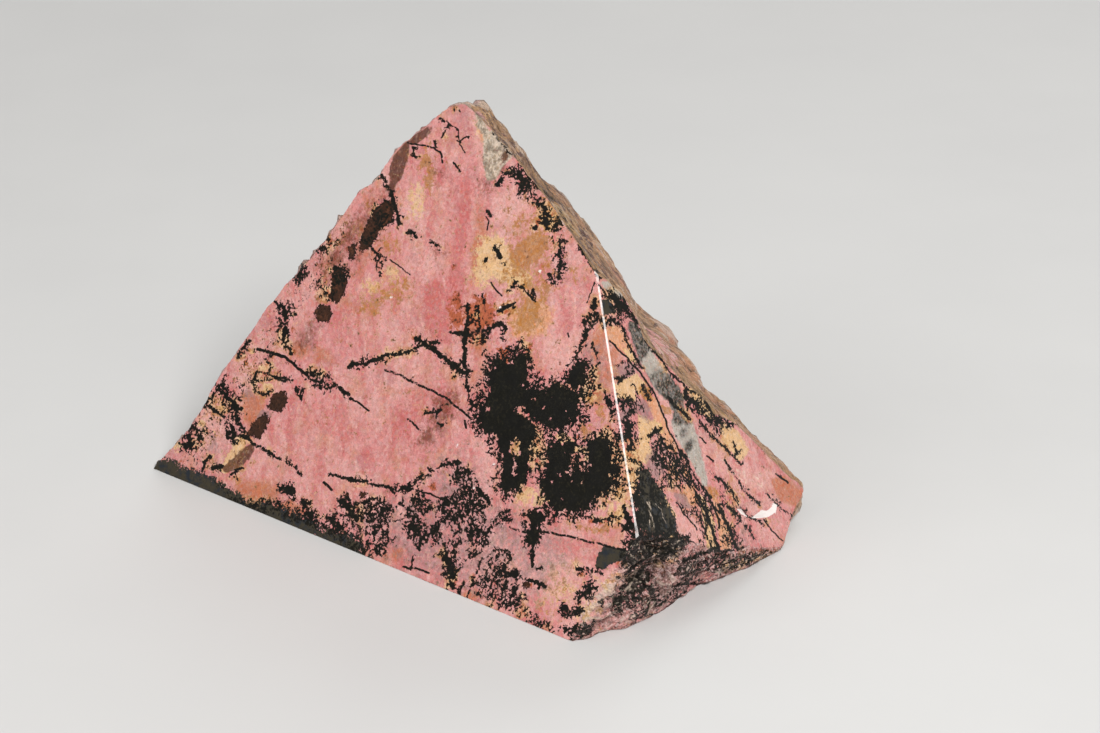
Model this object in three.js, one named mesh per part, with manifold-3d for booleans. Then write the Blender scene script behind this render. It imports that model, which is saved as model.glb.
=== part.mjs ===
// A hand-sized piece of rough rhodonite that a lapidary has sawn on three sides: a large main face, a
// narrower side face that meets it in a crisp ridge, and the base that it stands on. Everything else is as
// it broke. Units are millimetres and +Z is up. The stone is laid out from the foot of the main face, with
// the front at -Y, and is then moved so that the middle of its bounding box's underside is the origin.
import * as THREE from "three";
import { mergeVertices } from "three/addons/utils/BufferGeometryUtils.js";
import { ImprovedNoise } from "three/addons/math/ImprovedNoise.js";
import Module from "manifold-3d";

// The sawn faces: a point where each meets the level of the base, the way it faces seen from above, in
// degrees counterclockwise from +X, and how steeply it stands, in degrees from level.
const MAIN_FACE = { foot: [0, 0], facing: -129.5, slope: 68 };
const SIDE_FACE = { foot: [28.9, 24.4], facing: -27.8, slope: 64.6 };
// The ridge between them is eased by a strip this wide.
const RIDGE_EASING = 0.45;
const RIDGE_PASSES = 20;

// Corners that the broken faces hang from.
const LEFT_CORNER = [-59.8, 49.2, 0];
const APEX = [-13.7, 41.8, 58.5];
const RIDGE_TOP = [3.5, 19.4, 42.5];
const RIGHT_CORNER = [31.9, 34.3, 4.4];

// How far the broken edge of the main face stands out from a straight line, as
// [distance up from the left corner, offset].
const LEFT_EDGE = [
  [0, 0], [7, -0.1], [13, 0.2], [16, 0.9], [20, 1.7], [27, 2.4], [34, 2.8], [41, 2.6], [46, 2.8], [50, 3.4],
  [53, 3.8], [56, 3.2], [58, 3.4], [61, 3.6], [64, 2.9], [68, 2.1], [72, 1.4], [75, 0.2],
];
// The same for the weathered top, as [distance down from the apex, offset]: along the sawn edge, and
// behind it.
const TOP_EDGE = [
  [0, -0.2], [3, 0.3], [7, 0.6], [10, 0.9], [16, 1.1], [20, 0.8], [25, 0.3], [28, 0.7], [30, 0.7], [33, 0.2],
  [37, -1.0], [45, -1.2], [51, -0.7], [53, -0.9], [57, -0.1], [71, 0],
];
const TOP_BEHIND = [
  [0, 0.1], [4, -0.2], [9, 0.6], [16, -0.5], [22, 0.1], [33, -0.5], [38, -1.8], [43, -0.8], [48, -1.1],
  [53, -3.2], [60, -2.9], [66, -1.3], [71, 0.3],
];
// Behind the sawn faces the left edge's line fades to this share, over these distances from the cut.
const LEFT_EDGE_KEPT = 0.5;
const LEFT_EDGE_FADE = [4, 16];
// The top's line behind takes over from the line along the sawn edge over these distances from the cut,
// and is shifted up and down the slope by at most this much, in waves of this length.
const TOP_TURN = [0.5, 5];
const TOP_WANDER = 5;
const TOP_WAVE = 9;

// The broken faces: a point on each, the way it faces, how far its normal rises above level, and the
// relief on it: height and length of the swells, width and depth of the chips, and how far both are drawn
// out along the grain.
const BROKEN_FACES = [
  {
    at: LEFT_CORNER, facing: 146.6, rise: 36.0,
    swell: 0.9, length: 16, chip: 8, depth: 1.5, drawn: 1.3, edge: leftEdge,
  },
  {
    at: RIDGE_TOP, facing: 10.7, rise: 38.9,
    swell: 0.3, length: 9, chip: 4, depth: 0.35, drawn: 4, edge: topEdge,
  },
  {
    at: [0, 57, 38], facing: 33, rise: 27.6,
    swell: 1.2, length: 20, chip: 10, depth: 2.0, drawn: 1.2,
  },
  {
    at: [0, 58, 38], facing: 87, rise: 17.5,
    swell: 1.6, length: 22, chip: 12, depth: 2.6, drawn: 1,
  },
  {
    at: [-50, 61.4, 0], facing: 114.4, rise: 15.1,
    swell: 1.2, length: 18, chip: 9, depth: 1.9, drawn: 1,
  },
  {
    at: [29, 24.6, 0], facing: -6, rise: -24,
    swell: 0.3, length: 8, chip: 3, depth: 0.4, drawn: 1,
  },
  {
    at: [13, 10.2, 0], facing: -47.8, rise: -14.4,
    swell: 0.3, length: 8, chip: 3.4, depth: 0.8, drawn: 1.6,
  },
  {
    at: [-2.5, 2.1, 0], facing: -91.2, rise: -8.5,
    swell: 0.2, length: 8, chip: 3, depth: 0.3, drawn: 1,
  },
];

// Hollows and humps on the broken faces: the line each runs along, its radius and its height.
const SCARS = [
  { from: [9.4, 3.6, 10.6], to: [3.6, 2.2, 1.5], radius: 1.7, height: -1.1 },
  { from: [11.2, 5.4, 9.2], to: [9.6, 5.0, 5.2], radius: 2.1, height: -1.0 },
  { from: [13.2, 8.2, 8.2], to: [15.8, 10.6, 6.0], radius: 2.1, height: 0.9 },
  { from: [7.2, 3.6, 0.6], to: [12.0, 7.6, 1.2], radius: 2.6, height: 1.3 },
  { from: [0.2, 0.8, 0.2], to: [0.6, 0.8, 1.0], radius: 2.8, height: 2.5 },
  { from: [15.6, 14.2, 0.2], to: [17.4, 15.6, 1.6], radius: 2.4, height: -0.8 },
  { from: [19.0, 12.4, 6.2], to: [21.0, 14.4, 5.2], radius: 1.8, height: 0.8 },
  { from: [-12.0, 46.8, 55.2], to: [-11.8, 50.0, 54.2], radius: 1.6, height: 1.5 },
  { from: [11.6, 54.0, 22.8], to: [12.4, 33.0, 28.8], radius: 2.3, height: -1.2 },
  { from: [16.4, 38.4, 22.4], to: [18.6, 35.0, 20.4], radius: 2.4, height: 1.0 },
  { from: [32.2, 35.2, 4.0], to: [32.0, 34.0, 2.6], radius: 1.9, height: 0.8 },
];

// Each scoop of the chipping has small scoops in it: their width and depth as shares of the large one's.
const SMALL_SCOOP_WIDTH = 0.4;
const SMALL_SCOOP_DEPTH = 0.35;
// How unlike each other the scoops are in depth, and their average depth, which is taken away so that
// chipping neither swells nor shrinks a face. Both are shares of the depth.
const SCOOP_VARIETY = 0.6;
const AVERAGE_SCOOP = 0.55;
// Beside a saw cut the relief is quiet: only this share of the chips is left, and all is back this far away.
const CHIPS_AT_CUT = 0.15;
const QUIET_STRIP = 4;
const SWELL_OCTAVES = 3;

// The lump is measured outwards from a point well inside it, and ends at this distance at the latest.
const CORE = new THREE.Vector3(-8, 34, 19);
const FARTHEST = 95;
// Its surface is sampled closer together along the stone's length, where it is farthest from that point.
const SAMPLING = new THREE.Vector3(1.5, 1.1, 1);
const LUMP_DETAIL = 29;
// A broken face counts only where it is turned towards a direction by at least this much, as a cosine.
const GRAZING = 0.12;
const EDGE_BLEND = 1.3;
const SAW_BLOCK = 300;
const SAME_PLACE = 1e-5;
const PINK = 0xc98a86;

const noise = new ImprovedNoise();

function direction(facing, rise) {
  const turn = THREE.MathUtils.degToRad(facing);
  const lift = THREE.MathUtils.degToRad(rise);
  return new THREE.Vector3(Math.cos(turn) * Math.cos(lift), Math.sin(turn) * Math.cos(lift), Math.sin(lift));
}

function sawnPlane({ foot, facing, slope }) {
  const normal = direction(facing, 90 - slope);
  return new THREE.Plane().setFromNormalAndCoplanarPoint(normal, new THREE.Vector3(foot[0], foot[1], 0));
}

// A smooth line through [distance, value] pairs.
function alongProfile(profile, distance) {
  const next = profile.findIndex(([d]) => d > distance);
  if (next === 0) return profile[0][1];
  if (next < 0) return profile[profile.length - 1][1];
  const [d0, v0] = profile[next - 1];
  const [d1, v1] = profile[next];
  return THREE.MathUtils.lerp(v0, v1, THREE.MathUtils.smoothstep(distance, d0, d1));
}

function distanceAlong(point, from, to) {
  const start = new THREE.Vector3(...from);
  const way = new THREE.Vector3(...to).sub(start).normalize();
  return point.clone().sub(start).dot(way);
}

function leftEdge(point, behind) {
  const kept = 1 - (1 - LEFT_EDGE_KEPT) * THREE.MathUtils.smoothstep(behind, ...LEFT_EDGE_FADE);
  return kept * alongProfile(LEFT_EDGE, distanceAlong(point, LEFT_CORNER, APEX));
}

function topEdge(point, behind) {
  const away = THREE.MathUtils.smoothstep(behind, ...TOP_TURN);
  const wander = noise.noise(point.x / TOP_WAVE, point.y / TOP_WAVE, point.z / TOP_WAVE);
  const down = distanceAlong(point, APEX, RIGHT_CORNER) + TOP_WANDER * away * wander;
  return THREE.MathUtils.lerp(alongProfile(TOP_EDGE, down), alongProfile(TOP_BEHIND, down), away);
}

// Swells of one length with smaller ones on them, each half as long and half as high as the last.
function swells(point, length) {
  let sum = 0;
  for (let octave = 0, weight = 1; octave < SWELL_OCTAVES; octave += 1, weight *= 0.5) {
    const scale = 2 ** octave / length;
    sum += weight * noise.noise(point.x * scale, point.y * scale, point.z * scale + 17 * octave);
  }
  return sum;
}

// A fixed random number from 0 to 1 for a cell of space.
function scatter(cell, turn) {
  const wave = Math.sin(cell.x * 127.1 + cell.y * 311.7 + cell.z * 74.7 + turn * 53.3) * 43758.5453;
  return wave - Math.floor(wave);
}

// Chipping leaves shallow scoops with crisp ridges between them: the deepest scoop at a point wins.
function chipped(point, width) {
  const place = point.clone().divideScalar(width);
  const corner = place.clone().floor();
  let deepest = Infinity;
  for (let step = 0; step < 27; step += 1) {
    const offset = new THREE.Vector3(step % 3, Math.floor(step / 3) % 3, Math.floor(step / 9)).subScalar(1);
    const cell = corner.clone().add(offset);
    const middle = cell.clone().add(new THREE.Vector3(scatter(cell, 1), scatter(cell, 2), scatter(cell, 3)));
    deepest = Math.min(deepest, place.distanceToSquared(middle) + SCOOP_VARIETY * scatter(cell, 4));
  }
  return deepest - AVERAGE_SCOOP;
}

const GRAIN = new THREE.Vector3(...RIGHT_CORNER).sub(new THREE.Vector3(...APEX)).normalize();

function relief(face, point, behind) {
  const squeeze = GRAIN.clone().multiplyScalar(point.dot(GRAIN) * (1 / face.drawn - 1));
  const place = point.clone().add(squeeze);
  const settled = THREE.MathUtils.smoothstep(behind, 0, QUIET_STRIP);
  const swell = face.swell * swells(place, face.length) * settled;
  const small = SMALL_SCOOP_DEPTH * chipped(place, SMALL_SCOOP_WIDTH * face.chip);
  const chips = face.depth * (chipped(place, face.chip) + small);
  const edge = face.edge ? face.edge(point, behind) : 0;
  return swell + chips * THREE.MathUtils.lerp(CHIPS_AT_CUT, 1, settled) + edge;
}

function scarred(point) {
  return SCARS.reduce((height, { from, to, radius, height: rise }) => {
    const line = new THREE.Line3(new THREE.Vector3(...from), new THREE.Vector3(...to));
    const nearest = line.closestPointToPoint(point, true, new THREE.Vector3());
    const off = point.distanceTo(nearest) / radius;
    return height + rise * Math.exp(-off * off);
  }, 0);
}

function smoothLeast(a, b) {
  const share = Math.max(EDGE_BLEND - Math.abs(a - b), 0) / EDGE_BLEND;
  return Math.min(a, b) - (share * share * EDGE_BLEND) / 4;
}

// How far the broken stone reaches from its core in a direction: to the nearest of its faces.
function reach(way, faces, sawn) {
  let least = FARTHEST;
  for (const face of faces) {
    const facing = face.normal.dot(way);
    if (facing < GRAZING) continue;
    const flat = -face.plane.distanceToPoint(CORE) / facing;
    const point = CORE.clone().addScaledVector(way, flat);
    const behind = Math.min(...sawn.map((plane) => Math.abs(plane.distanceToPoint(point))));
    const height = relief(face, point, behind) + scarred(point);
    least = smoothLeast(least, flat + height / facing);
  }
  return least;
}

function lump(sawn) {
  const faces = BROKEN_FACES.map((face) => {
    const normal = direction(face.facing, face.rise);
    const plane = new THREE.Plane().setFromNormalAndCoplanarPoint(normal, new THREE.Vector3(...face.at));
    return { ...face, normal, plane };
  });
  const sphere = new THREE.IcosahedronGeometry(1, LUMP_DETAIL);
  sphere.deleteAttribute("normal");
  sphere.deleteAttribute("uv");
  const shell = mergeVertices(sphere, SAME_PLACE);
  const spots = shell.getAttribute("position");
  const way = new THREE.Vector3();
  for (let i = 0; i < spots.count; i += 1) {
    way.fromBufferAttribute(spots, i).multiply(SAMPLING).normalize();
    const spot = CORE.clone().addScaledVector(way, reach(way, faces, sawn));
    spots.setXYZ(i, spot.x, spot.y, spot.z);
  }
  return shell;
}

// A block whose one face lies in the plane, on its outer side: what the saw takes away.
function sawBlock(plane) {
  const block = new THREE.BoxGeometry(SAW_BLOCK, SAW_BLOCK, SAW_BLOCK);
  block.translate(0, 0, SAW_BLOCK / 2);
  block.applyQuaternion(new THREE.Quaternion().setFromUnitVectors(new THREE.Vector3(0, 0, 1), plane.normal));
  const middle = plane.projectPoint(CORE, new THREE.Vector3());
  return block.translate(middle.x, middle.y, middle.z);
}

// The strip that eases the ridge between two sawn faces. The faces are almost square to each other, so
// dropping a point onto one and then the other a few times brings it onto both.
function easedRidge(main, side) {
  const normal = main.normal.clone().add(side.normal).normalize();
  const depth = (RIDGE_EASING / 2) * Math.tan(main.normal.angleTo(side.normal) / 2);
  const onRidge = new THREE.Vector3(...RIDGE_TOP);
  for (let pass = 0; pass < RIDGE_PASSES; pass += 1) {
    main.projectPoint(onRidge.clone(), onRidge);
    side.projectPoint(onRidge.clone(), onRidge);
  }
  return new THREE.Plane().setFromNormalAndCoplanarPoint(normal, onRidge.addScaledVector(normal, -depth));
}

const wasm = await Module();
wasm.setup();

function solid(geometry) {
  geometry.deleteAttribute("normal");
  geometry.deleteAttribute("uv");
  const merged = mergeVertices(geometry, SAME_PLACE);
  return new wasm.Manifold(
    new wasm.Mesh({
      numProp: 3,
      vertProperties: merged.getAttribute("position").array,
      triVerts: new Uint32Array(merged.index.array),
    }),
  );
}

function geometryOf(made) {
  const { vertProperties, triVerts } = made.getMesh();
  const geometry = new THREE.BufferGeometry();
  geometry.setAttribute("position", new THREE.BufferAttribute(vertProperties, 3));
  geometry.setIndex(new THREE.BufferAttribute(triVerts, 1));
  return geometry;
}

function stone() {
  const main = sawnPlane(MAIN_FACE);
  const side = sawnPlane(SIDE_FACE);
  const base = new THREE.Plane(new THREE.Vector3(0, 0, -1), 0);
  const cuts = [main, side, easedRidge(main, side), base];
  const sawn = cuts.reduce((body, plane) => body.subtract(solid(sawBlock(plane))), solid(lump([main, side])));
  return geometryOf(sawn);
}

function originAtBase(geometry) {
  geometry.computeBoundingBox();
  const { min, max } = geometry.boundingBox;
  return geometry.translate(-(min.x + max.x) / 2, -(min.y + max.y) / 2, -min.z);
}

const rhodonite = new THREE.Mesh(
  originAtBase(stone()),
  new THREE.MeshStandardMaterial({ color: PINK, roughness: 0.35, metalness: 0, flatShading: true }),
);
rhodonite.name = "rhodonite";

const group = new THREE.Group();
group.add(rhodonite);
export default group;
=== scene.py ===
"""Rough rhodonite on a pale table: the sawn and polished faces, their markings and the broken sides."""

import math

import bmesh
import bpy
import numpy as np
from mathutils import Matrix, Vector, geometry, kdtree, noise


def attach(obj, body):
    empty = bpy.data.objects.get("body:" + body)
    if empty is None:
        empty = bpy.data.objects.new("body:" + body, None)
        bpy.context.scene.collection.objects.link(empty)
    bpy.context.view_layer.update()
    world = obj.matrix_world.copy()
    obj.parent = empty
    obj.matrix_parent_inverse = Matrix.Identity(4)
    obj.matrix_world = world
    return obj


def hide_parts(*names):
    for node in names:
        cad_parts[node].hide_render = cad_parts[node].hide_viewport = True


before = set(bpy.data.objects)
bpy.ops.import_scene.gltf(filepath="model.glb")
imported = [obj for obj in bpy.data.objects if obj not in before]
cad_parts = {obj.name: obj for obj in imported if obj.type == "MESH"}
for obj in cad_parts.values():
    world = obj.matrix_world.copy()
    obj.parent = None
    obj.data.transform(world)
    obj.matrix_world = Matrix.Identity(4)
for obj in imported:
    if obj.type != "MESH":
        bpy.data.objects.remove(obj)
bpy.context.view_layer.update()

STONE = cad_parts["rhodonite"]

MM = 0.001

# Seeds, so that every run gives the same stone: of the markings, of the shape and of the ragged rims
RANDOM = np.random.default_rng(7)
SHAPE_RANDOM = np.random.default_rng(11)
noise.seed_set(5)

# The camera stands where the photographer's stood, and places every marking below.
CAMERA_PLACE = Vector((0.010871, -0.378669, 0.199095))
CAMERA_TILT = math.radians(65)
LENS = 100
SENSOR = 36
PHOTO_WIDTH = 1100
PHOTO_HEIGHT = 733

# Lamps in metres and watts: place, size and power, all pointed at the stone
LAMP_TARGET = Vector((0, 0, 0.02))
LAMPS = (
    ("key", (0.29, -0.66, 0.71), 0.34, 9.6),
    ("left fill", (-0.8, -0.5, 0.6), 0.7, 3.2),
    ("back fill", (0.4, 0.9, 0.8), 0.8, 3.5),
)

# Which way each sawn face looks, as an angle round the vertical and a slope from level
MAIN_FACING = (-129.5, 68)
SIDE_FACING = (-27.8, 64.6)
SAME_PLANE = 2e-6
SAME_FACING = 0.99995

# Directions: the way the weathered top faces, and the ways that streaks and layers run
RIND_FACING = np.array([0.765, 0.145, 0.627])
RIND_GRAIN = (0.64, -0.1, -0.76)
STONE_GRAIN = (-0.1, 0.35, 0.93)
THREAD_GRAIN = (0.4, 0.3, 0.85)
SAW_GROOVES = (0.91, 0.41, 0)
BREAK_LAYERS = (0.75, 0.64, 0.12)

# The eased strip along the ridge, which its own material whitens: partly wear, partly a painted highlight
RIDGE_WIDTH = 0.26 * MM
RIDGE_STEP = 0.5 * MM
RIDGE_TAPER = 1.2 * MM

# Mesh: how long an edge may be on each kind of surface
EDGE_IN_VIEW = 0.5 * MM
EDGE_IN_BREAK = 0.28 * MM
EDGE_BEHIND = 1.25 * MM
BESIDE_FACE = 0.6 * MM
REFINEMENTS = 5
WELD = 1e-7
GRID = 0.176 * MM
BASE_GRID = 1.6 * MM
GRID_CLEARANCE = 0.1 * MM
ROW_SPACING = 0.866

# Relief of the broken surfaces
FADE_AT_SAW_CUT = 0.9 * MM
SAW_CLEARANCE = 0.015 * MM
RAGGED = 0.5 * MM
FADE_AT_CORNER = 1.6 * MM
LUMPS = 0.3 * MM
GRAIN_FACETS = {3.4 * MM: 0.3, 1.5 * MM: 0.38}
LEDGE_DIRECTION = np.array([0.26, -0.34, 0.9])
LEDGE_SPACING = 2.3 * MM
LEDGE_HEIGHT = 0.3 * MM
RIND_RELIEF = 0.35
# Share by which the painted shade in pits and painted highlight on crests is weaker on the sides the camera
# doesn't see
PITS_BEHIND = 0.4
GRAINS_IN_BREAK = 0.13 * MM
BREAK_TOP = 16 * MM
BREAK_IN_VIEW = (
    (552, 620), (606, 600), (630, 530), (700, 540), (790, 536), (790, 566), (700, 600), (600, 650), (552, 650)
)

# The materials' places in the stone's list, and the one that each kind of surface has
POLISHED, BROKEN, SAWN, WORN_AND_HIGHLIT = range(4)
MATERIAL_OF = {"main": POLISHED, "side": POLISHED, "ridge": WORN_AND_HIGHLIT, "base": SAWN, "broken": BROKEN}

# Fields of marks with hard edges are kept between this many pixels outside and inside.
HARD_LIMIT = 4.0


# Markings. A pair of numbers is a place in the photograph, in its pixels from the left and the top.
# Cracks: width in pixels, share of it that is mossy, then the points along it
CRACKS = {
    "cap of the apex": (2.5, 0.9, (453, 112), (456, 107), (461, 112)),
    "star below the apex": (3, 0.8, (438, 119), (449, 123), (457, 130)),
    "foot of the star": (3, 0.8, (449, 124), (446, 131), (442, 137)),
    "fork right of the star": (1.6, 0.3, (458, 129), (459, 141), (465, 153)),
    "tine of the fork": (1.6, 0.3, (460, 141), (469, 136)),
    "along the upper left rim": (2.4, 0.3, (408, 143), (417, 145), (434, 147), (441, 151), (443, 164)),
    "spur up from the rim crack": (2.4, 0.5, (434, 141), (436, 148)),
    "spur down from the rim crack": (3.5, 0.7, (414, 148), (415, 157)),
    "dash below the rim crack": (2.6, 0.2, (454, 163), (461, 171)),
    "beside the upper brown block": (
        4.5, 0.7, (381, 175), (389, 188), (393, 203), (398, 218), (400, 224),
    ),
    "clump left of the rose streak": (6, 1, (411, 231), (417, 238)),
    "dash left of the rose streak": (3.6, 0.4, (431, 240), (436, 245), (440, 252)),
    "out of the middle brown block": (2.4, 0.5, (361, 237), (374, 250), (387, 259)),
    "clump on that crack": (7, 1, (377, 252), (380, 263)),
    "tail of that clump": (3, 1, (380, 263), (380, 276)),
    "thin dash after it": (1.5, 0.1, (390, 260), (400, 266), (410, 275)),
    "upper left rim, high": (4, 1, (322, 243), (318, 250)),
    "upper left rim, low": (5, 1, (305, 272), (296, 278)),
    "beside the oval brown spot": (3, 0.8, (320, 287), (326, 296)),
    "left of the oval": (2.4, 0.5, (274, 300), (285, 313), (296, 315)),
    "down from the left of the oval": (4.5, 0.9, (281, 304), (285, 319), (283, 339), (291, 353)),
    "branch of that": (2.4, 0.5, (281, 324), (296, 313)),
    "long crack of the left side": (4, 0.35, (258, 349), (272, 353), (286, 358), (297, 368), (307, 375)),
    "cluster at its end": (9, 1, (309, 376), (318, 378), (330, 384)),
    "left rim, upper": (3.5, 1, (250, 341), (238, 357)),
    "left rim, between": (4, 1, (216, 391), (206, 404), (196, 414)),
    "left rim, middle": (3, 1, (227, 374), (220, 388), (216, 391)),
    "cluster below the left rim": (11, 1, (222, 389), (231, 402), (236, 412)),
    "down from that cluster": (5, 1, (236, 412), (240, 427), (247, 432)),
    "beside that cluster": (5, 1, (238, 398), (243, 404)),
    "hook above the square block": (
        3, 0.6, (264, 358), (271, 364), (270, 373), (257, 372), (253, 382), (262, 380), (273, 380),
        (286, 380),
    ),
    "back of the hook": (3, 0.6, (253, 382), (256, 392), (264, 396), (272, 390)),
    "bar from the hook": (4, 0.6, (272, 375), (283, 378), (292, 380)),
    "small triangle": (5, 0.7, (295, 389), (301, 396)),
    "right half of the triangle": (4, 0.5, (303, 389), (301, 400)),
    "specks left of the hook": (3, 1, (238, 386), (245, 383)),
    "crack across the lower left": (5, 0.6, (207, 402), (219, 413), (230, 423), (238, 433), (247, 438)),
    "its second half": (3.6, 0.5, (247, 438), (262, 449), (273, 456), (286, 462), (296, 468), (302, 475)),
    "black tongue under it": (5, 0.8, (230, 420), (228, 437)),
    "spot under the tongue": (6, 0.9, (232, 436), (234, 443)),
    "cluster near the left corner": (12, 1, (199, 432), (190, 441), (185, 448)),
    "rim by the left corner": (6, 1, (196, 423), (187, 433)),
    "hook on the dark corner": (4, 0.9, (211, 456), (203, 462), (202, 471)),
    "spots by the cream block": (5, 1, (213, 468), (221, 466)),
    "below the cream block": (6, 1, (229, 476), (242, 468)),
    "middle crack, left end": (5, 0.5, (340, 387), (346, 393), (352, 399)),
    "middle crack, right end": (2.6, 0.3, (352, 399), (360, 404), (369, 411)),
    "smooth curved crack": (
        2.6, 0.05, (385, 370), (400, 375), (413, 382), (431, 390), (450, 400), (470, 418),
    ),
    "bar through the rust": (6, 0.6, (451, 332), (468, 334), (484, 331), (498, 325)),
    "rust hook": (2.6, 0.8, (500, 324), (502, 332), (503, 341)),
    "upper middle crack": (
        5, 0.5, (350, 366), (368, 362), (385, 355), (407, 352), (424, 344), (439, 342),
    ),
    "its lower branch": (2.4, 0.6, (378, 358), (386, 364), (394, 352)),
    "down to the black masses": (5, 0.8, (415, 338), (431, 348), (444, 358), (452, 365), (465, 373)),
    "cluster at the tall crack": (8, 1, (455, 366), (468, 374)),
    "tall crack": (5, 0.5, (468, 304), (467, 322), (465, 343), (464, 365), (468, 390)),
    "foot of the tall crack": (4, 0.5, (468, 390), (471, 402), (475, 411)),
    "fleck left of the masses": (3, 0.3, (465, 421), (466, 428)),
    "fleck in the pink": (2.4, 0.3, (408, 419), (414, 424), (420, 430)),
    "long lower crack, left": (4, 0.6, (329, 474), (348, 479), (365, 482), (378, 487), (391, 489)),
    "long lower crack, clump": (7, 1, (391, 488), (402, 488), (411, 488)),
    "long lower crack, rising": (5, 0.9, (411, 486), (420, 478), (433, 471), (444, 465), (459, 463)),
    "thin crack right of it": (2, 0.2, (416, 490), (430, 494), (445, 500), (453, 504)),
    "dash below it, left": (3.4, 0.3, (324, 483), (332, 490)),
    "dash below it, rising": (2.4, 0.6, (350, 507), (362, 502), (381, 496)),
    "clump under the lower crack": (12, 1, (419, 494), (421, 506)),
    "clump further down": (13, 1, (410, 523), (424, 540)),
    "bluish spur": (4, 0.4, (422, 538), (419, 549)),
    "long line under the masses": (
        2.6, 0.1, (510, 527), (525, 532), (538, 531), (560, 535), (588, 541), (606, 546), (625, 550),
    ),
    "crack to the ridge foot": (2.4, 0.6, (577, 515), (592, 517), (606, 519), (620, 524), (631, 529)),
    "brown clump on it": (8, 0.9, (594, 521), (600, 521)),
    "black clump on it": (8, 0.9, (611, 517), (617, 518)),
    "clump by the ridge foot": (10, 0.8, (626, 527), (629, 531)),
    "wedge left of the ridge foot": (6, 0.5, (624, 507), (628, 518), (632, 528)),
    "short dark line near the foot": (1.8, 0.2, (413, 556), (411, 570)),
    "cross line near the foot": (2.6, 0.2, (403, 567), (416, 568), (429, 573)),
    "diagonal crack to the foot": (3, 0.6, (496, 519), (483, 537), (469, 557)),
    "thin line to the foot": (1.6, 0.4, (482, 557), (474, 578), (467, 598)),
    "stroke at the foot": (4, 0.5, (464, 582), (459, 594)),
    "column above the foot, top": (11, 1, (446, 556), (452, 572)),
    "column above the foot, low": (7, 1, (452, 572), (452, 588)),
    "crossing vein, upper": (5, 0.9, (494, 551), (507, 549), (510, 560), (503, 570)),
    "crossing vein, lower": (6, 0.8, (501, 569), (517, 575), (532, 581), (545, 587)),
    "clump on the crossing vein": (9, 1, (494, 570), (516, 575)),
    "tail of the dark bird": (3.4, 0.6, (532, 546), (533, 566)),
    "end of that tail": (5, 0.7, (537, 569), (542, 567)),
    "vein to the left of the bird": (6, 0.9, (478, 490), (491, 505), (486, 497)),
    "fleck (left of the ridge)": (2, 0.3, (568, 333), (569, 337)),
    "line down to the masses": (4, 0.5, (588, 330), (580, 348), (573, 363), (565, 380)),
    "second line beside it": (3, 0.7, (592, 343), (599, 363)),
    "clump by the ridge, upper": (8, 1, (582, 324), (597, 313)),
    "clump under the ridge top": (5, 1, (596, 298), (594, 308)),
    "down beside the ridge": (6, 1, (605, 390), (611, 404), (610, 421)),
    "upper right crack by the rind": (2.6, 0.5, (493, 133), (505, 147), (512, 155)),
    "its black beginning": (5, 0.8, (504, 175), (512, 171)),
    "small black foot": (6, 0.7, (498, 184), (502, 179)),
    "along the rind, upper": (2.6, 0.6, (526, 174), (538, 188), (554, 199), (563, 214)),
    "along the rind, lower": (3.2, 0.7, (563, 214), (573, 233), (582, 252), (591, 265), (600, 278)),
    "cluster by the rind, one": (9, 1, (541, 200), (547, 226)),
    "cluster by the rind, two": (8, 1, (560, 218), (554, 230)),
    "small spot by the rind": (5, 0.6, (533, 228), (536, 227)),
    "black river, upper": (6.5, 0.8, (562, 240), (560, 252), (561, 266), (559, 280)),
    "black river, hook": (6, 0.9, (559, 280), (554, 284), (550, 275)),
    "spot in the cream, one": (6, 0.7, (495, 247), (500, 257)),
    "spot in the cream, two": (5, 0.7, (484, 262), (487, 258)),
    "spot in the cream, three": (2.4, 0.7, (503, 262), (505, 265)),
    "dash by the rose streak": (4, 0.4, (488, 211), (491, 216)),
    "thin tail by the rose streak": (1.6, 0.1, (486, 216), (489, 221), (487, 230)),
    "fine diagonal": (1.8, 0.1, (491, 283), (502, 296)),
    "spider, body": (4, 0.8, (512, 279), (517, 284), (521, 288)),
    "spider, left leg": (2.6, 0.6, (517, 285), (507, 291)),
    "spider, right leg": (2.4, 0.4, (519, 286), (526, 293), (535, 301)),
    "spider, far leg": (2.2, 0.4, (534, 288), (535, 300)),
    "short thick dash": (4, 0.4, (482, 295), (484, 303)),
    "slanting dash": (4, 0.6, (498, 311), (515, 303)),
    "spots beside the dash": (4, 1, (500, 322), (506, 330)),
    "arc by the ridge top": (1.4, 0.1, (594, 282), (591, 292), (587, 303)),
    "side face, from the ridge top": (2.4, 0.4, (598, 284), (605, 294), (612, 300)),
    "side face, thin to the corner": (1.5, 0.1, (764, 520), (773, 531), (783, 541)),
    "side face, border continued": (4, 0.8, (686, 387), (702, 398), (711, 411), (716, 420)),
    "side face, network one": (7, 1, (688, 399), (700, 408), (710, 420)),
    "side face, network two": (8, 1, (704, 396), (716, 418), (731, 425)),
    "side face, network three": (6, 1, (713, 423), (721, 436)),
    "side face, pink edge one": (3, 0.6, (684, 404), (697, 417), (704, 428), (714, 436)),
    "side face, pink edge two": (2.4, 0.4, (714, 438), (727, 450), (742, 465)),
    "side face, line one": (2.2, 0.5, (725, 459), (734, 473), (744, 489), (760, 506)),
    "side face, line two": (2.2, 0.8, (710, 472), (725, 484), (738, 504), (751, 517), (764, 525)),
    "side face, short dash": (2, 0.2, (707, 456), (713, 462)),
    "side face, short dash two": (2, 0.3, (700, 437), (706, 443)),
    "side face, black in the yellow": (5, 0.8, (733, 441), (739, 453)),
    "side face, thin by the right rim": (2, 0.3, (776, 474), (788, 483)),
    "side face, to the right corner": (2.6, 0.7, (768, 494), (781, 508), (793, 516)),
    "side face, under the foliated black": (3, 0.4, (701, 523), (707, 538), (713, 551)),
    "side face, hair line": (1.6, 0.2, (676, 503), (688, 519), (697, 530)),
    "break, upper rim shadow": (3, 0.5, (639, 528), (652, 534), (662, 533), (675, 536), (690, 538)),
    "side face, long crack one": (
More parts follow.
